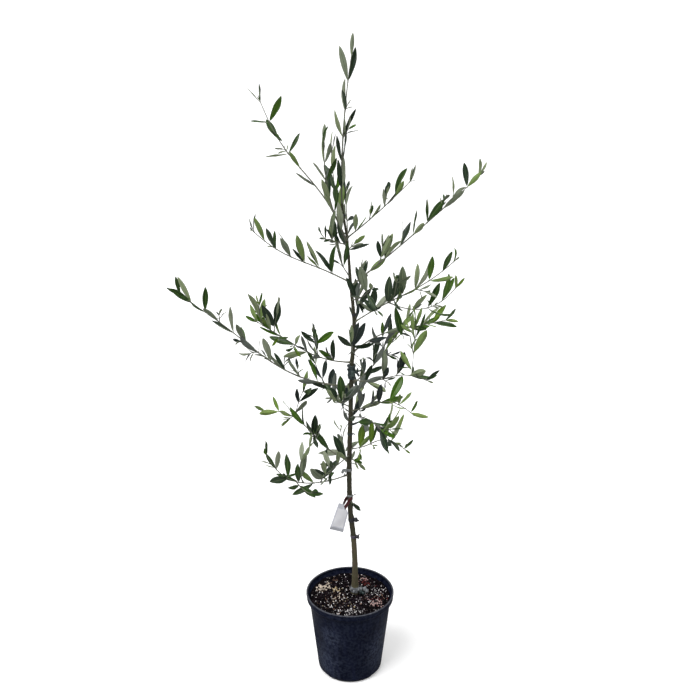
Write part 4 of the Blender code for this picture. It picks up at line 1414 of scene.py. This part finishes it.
def addRibbon(bundle, path, across, width, thick, slot=0, crumple=0.0, twist=0.0):
    # A flat strip along a path. Across is the direction of its width, or one for each point.
    path = np.asarray(path, float)
    ahead = np.gradient(path, axis=0)
    ahead /= np.linalg.norm(ahead, axis=1)[:, None]
    across = np.broadcast_to(np.asarray(across, float), path.shape)
    across = across - ahead * (across * ahead).sum(1)[:, None]
    across = across / np.linalg.norm(across, axis=1)[:, None]
    over = np.cross(ahead, across)
    turn = np.linspace(0, twist, len(path))[:, None]
    across, over = across * np.cos(turn) + over * np.sin(turn), over * np.cos(turn) - across * np.sin(turn)
    width = np.broadcast_to(np.asarray(width, float), (len(path),))
    shares = np.linspace(-0.5, 0.5, 7)
    rings = []
    for i, place in enumerate(path):
        row = []
        for side in (1, -1):
            for share in shares[::side] if side > 0 else shares[::-1][1:-1]:
                edge = math.sqrt(max(1 - (abs(share) * 2) ** 4, 0.0))
                point = place + across[i] * width[i] * share + over[i] * side * thick / 2 * max(edge, 0.25)
                if crumple:
                    point = point + over[i] * crumple * noise.noise(Vector(point) * 900)
                row.append(point)
        rings.append(row)
    addTube(bundle, np.array(rings), slot)


def aroundTrunk(angle, height, out):
    middle = trunkMiddle(height)
    radius = trunkRadius(height) + out
    return (middle.x + math.cos(angle) * radius, middle.y + math.sin(angle) * radius, height)


# Each tie: turns round the trunk, how they slant, its knot and what hangs from it. Tails run from the knot
# through places given as out, sideways and up from it, beads sit at such places with a size and a slot, and
# lumps sit on the turns by heading, size and height
ties = {
    "foot_tape": {
        "turns": 3, "slant": 0.0014, "knot": (0.0080, 0.0100), "heading": -14,
        "finish": "grey", "second": "teal",
        "tails": (((0.004, -0.004, -0.003), (0.007, -0.008, -0.006)),
                  ((0.002, -0.006, -0.003), (0.002, -0.011, -0.007)),
                  ((0.005, 0.001, 0.003), (0.010, 0.000, 0.004))),
        "tailWidth": 0.0085, "tailSlot": 1,
        "lumps": ((215, 0.0050, 0.0040), (255, 0.0055, -0.0020), (325, 0.0062, 0.0020)),
        "beads": ((0.011, 0.000, 0.0025, 0.0068, 0), (0.016, -0.003, -0.0005, 0.0060, 0),
                  (0.003, -0.008, -0.0005, 0.0052, 1), (0.008, -0.009, -0.0040, 0.0050, 1)),
    },
    "tie_lowest": {
        "turns": 2, "slant": 0.0012, "knot": (0.0052, 0.0062), "heading": -20,
        "finish": "purple", "second": "black",
        "tails": (((0.003, 0.001, 0.003), (0.005, 0.001, 0.009)),
                  ((0.003, 0.000, -0.002), (0.005, 0.001, -0.004))),
        "tailWidth": 0.0040, "tailSlot": 1,
        "beads": ((0.0015, -0.0005, -0.0005, 0.0058, 1),),
    },
    "tie_low": {
        "turns": 2, "slant": 0.0026, "knot": (0.0052, 0.0066), "heading": -20, "finish": "black",
        "tails": (((0.004, 0.001, 0.001), (0.009, 0.001, -0.002)),
                  ((0.003, -0.001, 0.003), (0.005, -0.002, 0.007)),
                  ((0.001, -0.004, -0.004), (0.001, -0.009, -0.005))),
        "tailWidth": 0.0048,
        "beads": ((0.0015, -0.0005, 0.0005, 0.0062, 0),),
    },
    "tie_under_tag": {
        "turns": 1, "slant": 0.0006, "knot": (0.0022, 0.0024), "heading": -20, "finish": "pale",
        "tails": (((0.003, 0.001, 0.002), (0.007, 0.001, 0.004)),),
        "tailWidth": 0.0030,
    },
    "tie_bow": {
        "turns": 2, "slant": 0.0008, "knot": (0.0036, 0.0042), "heading": 215, "finish": "pale",
        "tails": (((0.005, 0.003, -0.003), (0.008, 0.002, -0.012)),
                  ((0.005, -0.003, 0.001), (0.010, -0.003, -0.006)),
                  ((0.003, 0.004, 0.004), (0.007, 0.006, 0.000))),
        "tailWidth": 0.0078,
    },
    "tie_middle": {
        "turns": 1, "slant": 0.0006, "knot": (0.0018, 0.0022), "heading": -20, "finish": "teal",
        "tails": (((0.002, 0.001, 0.001), (0.004, 0.002, -0.002)),),
        "tailWidth": 0.0030,
    },
    "tape_wrap": {
        "turns": 6, "slant": 0.0016, "knot": (0.0048, 0.0070), "heading": -20, "finish": "teal",
        "tails": (((0.006, 0.001, 0.003), (0.013, 0.002, 0.006), (0.017, 0.002, 0.001)),
                  ((0.003, 0.001, -0.004), (0.006, 0.002, -0.010)),
                  ((0.003, -0.002, 0.006), (0.005, -0.004, 0.012))),
        "tailWidth": 0.0070,
        "lumps": ((205, 0.0050, 0.0150), (230, 0.0040, -0.0120), (180, 0.0036, 0.0060)),
        # A paler strip across the front of the wrap is a painted sheen
        "patch": (-100, -35, 0.0030, 0.0150),
    },
    "tie_high": {
        "turns": 1, "slant": 0.0006, "knot": (0.0018, 0.0024), "heading": -20, "finish": "black",
        "tails": (((0.002, 0.001, 0.000), (0.005, 0.001, -0.002)),),
        "tailWidth": 0.0030,
    },
    "tie_top": {
        "turns": 2, "slant": 0.0006, "knot": (0.0014, 0.0018), "heading": -20, "finish": "black",
        "tails": (((0.002, 0.000, 0.001), (0.004, 0.001, 0.003)),),
        "tailWidth": 0.0022,
    },
}
tapeColours = {
    "teal": ((0.012, 0.022, 0.024), (0.040, 0.062, 0.064)),
    "grey": ((0.100, 0.106, 0.116), (0.230, 0.240, 0.255)),
    "purple": ((0.030, 0.024, 0.042), (0.130, 0.112, 0.150)),
    "black": ((0.010, 0.010, 0.014), (0.042, 0.042, 0.052)),
    "pale": ((0.160, 0.175, 0.180), (0.330, 0.345, 0.345)),
    "slate": ((0.040, 0.064, 0.060), (0.092, 0.128, 0.120)),
}


def makeTies():
    materials = {}
    for name, colours in tapeColours.items():
        look = ((150, 1200, 2.0), (0.36, 0.60), (0.0003, 0.6))
        materials[name] = mottled("Tape " + name, 0.48, colours, *look, Specular_IOR_Level=0.5)
    for node, (height, tall, thick, _) in tieRoom.items():
        tie = ties[node]
        bundle = Bundle()
        rng = random.Random("tie " + node)
        turns = tie["turns"]
        strip = tall / turns * (1.15 if turns > 1 else 1.0)
        for turn in range(turns):
            start = height + (turn - (turns - 1) / 2) * (tall - strip) / max(turns - 1, 1)
            slant = tie["slant"] * rng.uniform(-1, 1)
            lead = rng.uniform(0, 6.28)
            layer = thick * (0.45 + 0.18 * (turn % 2))
            angles = np.linspace(0, 2 * math.pi, 65)
            path = [aroundTrunk(a, start + slant * math.sin(a + lead), layer) for a in angles]
            addRibbon(bundle, path, up, strip, thick * 0.75, 0, 0.0005)
        heading = math.radians(tie["heading"])
        out = levelAt(heading)
        side = up.cross(out)
        size, high = tie["knot"]
        centre = Vector(aroundTrunk(heading, height, thick + size * 0.45))
        addPebble(bundle, centre, (size * 0.75, size * 0.75, high * 0.6), rng, 0.3, 0, ballFine)
        for rows in tie["tails"]:
            places = [centre + out * row[0] + side * row[1] + up * row[2] for row in rows]
            path = smoothPath([centre, *places], 15)
            width = tie["tailWidth"] * np.linspace(0.7, 1.0, len(path))
            across = (side * 0.4 + up * 0.9) if rng.random() < 0.5 else (side * -0.5 + up * 0.8)
            slot = tie.get("tailSlot", 0)
            addRibbon(bundle, path, across, width, 0.0005, slot, 0.0006, rng.uniform(-0.9, 0.9))
        for heading, size, over in tie.get("lumps", ()):
            around = math.radians(heading)
            place = aroundTrunk(around, height + over, thick * 0.8)
            addPebble(bundle, place, (size * 0.8, size * 0.8, size * 0.55), rng, 0.5, 0, ballFine)
        for far, aside, over, size, slot in tie.get("beads", ()):
            place = centre + out * far + side * aside + up * over
            addPebble(bundle, place, (size * 0.8, size * 0.8, size * 0.75), rng, 0.5, slot, ballFine)
        # A paler strip round the front of the turns, a painted sheen on the tape
        if "patch" in tie:
            first, last, over, wide = tie["patch"]
            angles = np.radians(np.linspace(first, last, 16))
            path = [aroundTrunk(a, height - over, thick * 1.02) for a in angles]
            addRibbon(bundle, path, up, wide, 0.0007, 1, 0.0005)
        finishes = [materials[tie["finish"]], materials[tie.get("second", "slate")]]
        bundle.build("tie_" + node.replace("tie_", ""), finishes, "tie_tape", [node])


def makeStrap():
    colours = ((0.036, 0.003, 0.006), (0.105, 0.009, 0.013))
    look = ((120, 900, 1.6), (0.25, 0.42), (0.0001, 0.4))
    finish = mottled("Strap plastic", 0.32, colours, *look, Specular_IOR_Level=0.5)
    bundle = Bundle()
    rings = np.array(strapRings(96))
    middle = rings.mean(axis=1)
    path = np.concatenate([middle, middle[:1]])
    addRibbon(bundle, path, up, strapShape["width"] * 1.9, strapShape["thick"] * 1.2)
    out = levelAt(math.radians(strapShape["heading"]))
    front = Vector(max(middle, key=lambda point: point @ np.array(out)))
    tail = [front, front + out * 0.004 - up * 0.003, front + out * 0.004 - up * 0.011]
    addRibbon(bundle, smoothPath(tail, 14), up.cross(out), 0.0034, 0.0009)
    addPebble(bundle, front, (0.0022, 0.0022, 0.0024), random.Random(5), 0.15, 0, ballFine)
    bundle.build("strap_loop", [finish], "strap_plastic", ["strap"])


tagLook = {
    "rows": 46,
    "columns": 20,
    "bow": 0.0016,
    "wave": 0.0007,
    "paperEdge": 0.0026,
    "seam": 0.010,
    "hook": ((0, 0, -0.002), (-0.001, 0, 0.003), (-0.0006, 0, 0.0075), (0.0012, 0, 0.0095)),
    "hookThick": 0.0004,
}


def makeTag():
    place, turn = tagPlace()
    rows, columns = tagLook["rows"], tagLook["columns"]
    width, height = tagShape["width"], tagShape["height"]
    bundle = Bundle()
    down = np.linspace(0, 1, rows)
    shares = np.linspace(-1, 1, columns)
    shoulder = 1 - tagShape["shoulder"]
    lefts = [-width * (tagShape["neck"] + (0.5 - tagShape["neck"]) * d) for d in down]
    rights = [width / 2 * min(d / shoulder, 1) ** 0.9 for d in down]
    fronts, backs = [], []
    for d, left, right in zip(down, lefts, rights):
        for backward, store in ((False, fronts), (True, backs)):
            row = []
            for share in shares:
                x = left + (right - left) * (share + 1) / 2
                z = -height * d
                bow = tagLook["bow"] * (1 - share**2) * math.sin(math.pi * d)
                wave = tagLook["wave"] * math.sin(9 * d + 2.2 * share) * d
                edge = math.sqrt(max(1 - abs(share) ** 6, 0)) * math.sqrt(max(1 - abs(2 * d - 1) ** 20, 0))
                skin = (0.5 if backward else -0.5) * tagShape["thick"] * max(edge, 0.15)
                y = -tagShape["thick"] / 2 - bow + wave + skin
                row.append(place + turn @ Vector((x, y, z)))
            store.append(row)
    front, back = np.array(fronts), np.array(backs)
    rings = np.concatenate([front, back[:, ::-1]], axis=1)
    around = 2 * columns
    inPaper = np.zeros((rows - 1, around), int)
    for i in range(rows - 1):
        low = height * (1 - down[i + 1])
        for j in range(columns - 1):
            x = lefts[i] + (rights[i] - lefts[i]) * (shares[j] + shares[j + 1] + 2) / 4
            inside = lefts[i] + tagLook["paperEdge"] < x < rights[i] - tagLook["paperEdge"]
            paper = inside and low > tagLook["seam"] and down[i] > shoulder * 0.6
            seam = low < tagLook["seam"] * 0.75
            inPaper[i, j] = inPaper[i, around - 2 - j] = 1 if paper else 2 if seam else 0
    bundle.add(rings, closedFaces(rows, around), (inPaper.ravel(), 0, 0))
    hook = smoothPath([place + turn @ Vector(row) for row in tagLook["hook"]], 18)
    addRod(bundle, hook, up, [tagLook["hookThick"]] * len(hook), 2)
    sleeve = mottled("Tag sleeve", 0.22, ((0.60, 0.62, 0.69), (0.76, 0.77, 0.83)), (60, 700, 1.5),
                     (0.18, 0.34), Specular_IOR_Level=0.5)
    paper = mottled("Tag paper", 0.38, ((0.80, 0.80, 0.86), (0.90, 0.90, 0.93)), (45, 1500, 1.2),
                    bump=(0.0001, 0.3), Specular_IOR_Level=0.5, Coat_Weight=0.4, Coat_Roughness=0.2)
    seam = mottled("Tag seam", 0.3, ((0.36, 0.37, 0.42), (0.55, 0.56, 0.60)), (90, 900, 2.0),
                   Specular_IOR_Level=0.5)
    bundle.build("tag_sleeve", [sleeve, paper, seam], "tag_plastic", ["tag"])


makeTies()
makeStrap()
makeTag()


# Floor, light and camera

stage = {
    "floor": (0.93, 0.93, 0.93),
    "bounce": (0.42, 0.42, 0.42),
    "glow": 0.20,
    "horizon": 0.16,
    "overhead": 0.78,
    "sun": 2.4,
    "sunAngle": 38,
    "camera": (0.0, -2.106, 1.6416),
    "lookDown": 20.57,
    "focalPixels": 1000,
    "framePixels": 700,
    "sensor": 36.0,
    "floorReach": 160,
}


def makeFloor():
    mesh = bmesh.new()
    bmesh.ops.create_grid(mesh, x_segments=8, y_segments=8, size=stage["floorReach"])
    data = bpy.data.meshes.new("floor")
    mesh.to_mesh(data)
    mesh.free()
    finish = Finish("Floor", 0.9, Specular_IOR_Level=0.0)
    marks = finish.blotches(0.6, 4, 0.5)
    seen = wire(finish.tree, "ShaderNodeLightPath").outputs["Is Camera Ray"]
    colour = finish.mix(marks["Mask"], [channel * 0.99 for channel in stage["floor"]], stage["floor"])
    finish.give("Base Color", finish.mix(seen, stage["bounce"], colour))
    finish.give("Emission Strength", finish.maths("MULTIPLY", seen, stage["glow"]))
    data.materials.append(finish.material)
    floor = bpy.data.objects.new("floor", data)
    floor.location.z = -0.0005
    bpy.context.scene.collection.objects.link(floor)


def makeWorld():
    # Plain white to the camera, and a soft light that is stronger from above than from the horizon
    world = bpy.data.worlds.new("Studio")
    world.use_nodes = True
    tree = world.node_tree
    white = (1, 1, 1, 1)
    direction = wire(tree, "ShaderNodeTexCoord").outputs["Generated"]
    facing = wire(tree, "ShaderNodeSeparateXYZ", {0: direction}).outputs["Z"]
    values = {"Value": facing, "To Min": stage["horizon"], "To Max": stage["overhead"]}
    soft = tree.nodes["Background"]
    soft.inputs["Color"].default_value = white
    tree.links.new(wire(tree, "ShaderNodeMapRange", values).outputs[0], soft.inputs["Strength"])
    seen = wire(tree, "ShaderNodeBackground", {"Color": white})
    isCamera = wire(tree, "ShaderNodeLightPath").outputs["Is Camera Ray"]
    both = wire(tree, "ShaderNodeMixShader", {0: isCamera, 1: soft.outputs[0], 2: seen.outputs[0]})
    tree.links.new(both.outputs[0], tree.nodes["World Output"].inputs["Surface"])
    bpy.context.scene.world = world


def makeLight(name, kind, place, aim, **settings):
    data = bpy.data.lights.new(name, kind)
    for key, value in settings.items():
        setattr(data, key, value)
    light = bpy.data.objects.new(name, data)
    light.location = place
    light.rotation_euler = (Vector(aim) - Vector(place)).to_track_quat("-Z", "Y").to_euler()
    bpy.context.scene.collection.objects.link(light)


def makeCamera():
    data = bpy.data.cameras.new("Camera")
    data.sensor_width = stage["sensor"]
    data.lens = stage["focalPixels"] / stage["framePixels"] * stage["sensor"]
    data.clip_end = 500
    camera = bpy.data.objects.new("Camera", data)
    camera.location = stage["camera"]
    camera.rotation_euler = (math.radians(90 - stage["lookDown"]), 0, 0)
    bpy.context.scene.collection.objects.link(camera)
    bpy.context.scene.camera = camera


makeFloor()
makeWorld()
softness = math.radians(stage["sunAngle"])
makeLight("Key", "SUN", (-1.1, -1.0, 3.2), (0, 0, 0.7), energy=stage["sun"], angle=softness)
makeLight("Fill", "AREA", (2.2, -1.4, 2.6), (0, 0, 0.8), shape="DISK", size=2.4, energy=20)
makeLight("Back", "AREA", (0.6, 2.6, 3.2), (0, 0, 0.9), shape="DISK", size=2.0, energy=16)
makeCamera()
bpy.context.scene.view_settings.view_transform = "Standard"
print("Stage, lights and camera are in place")
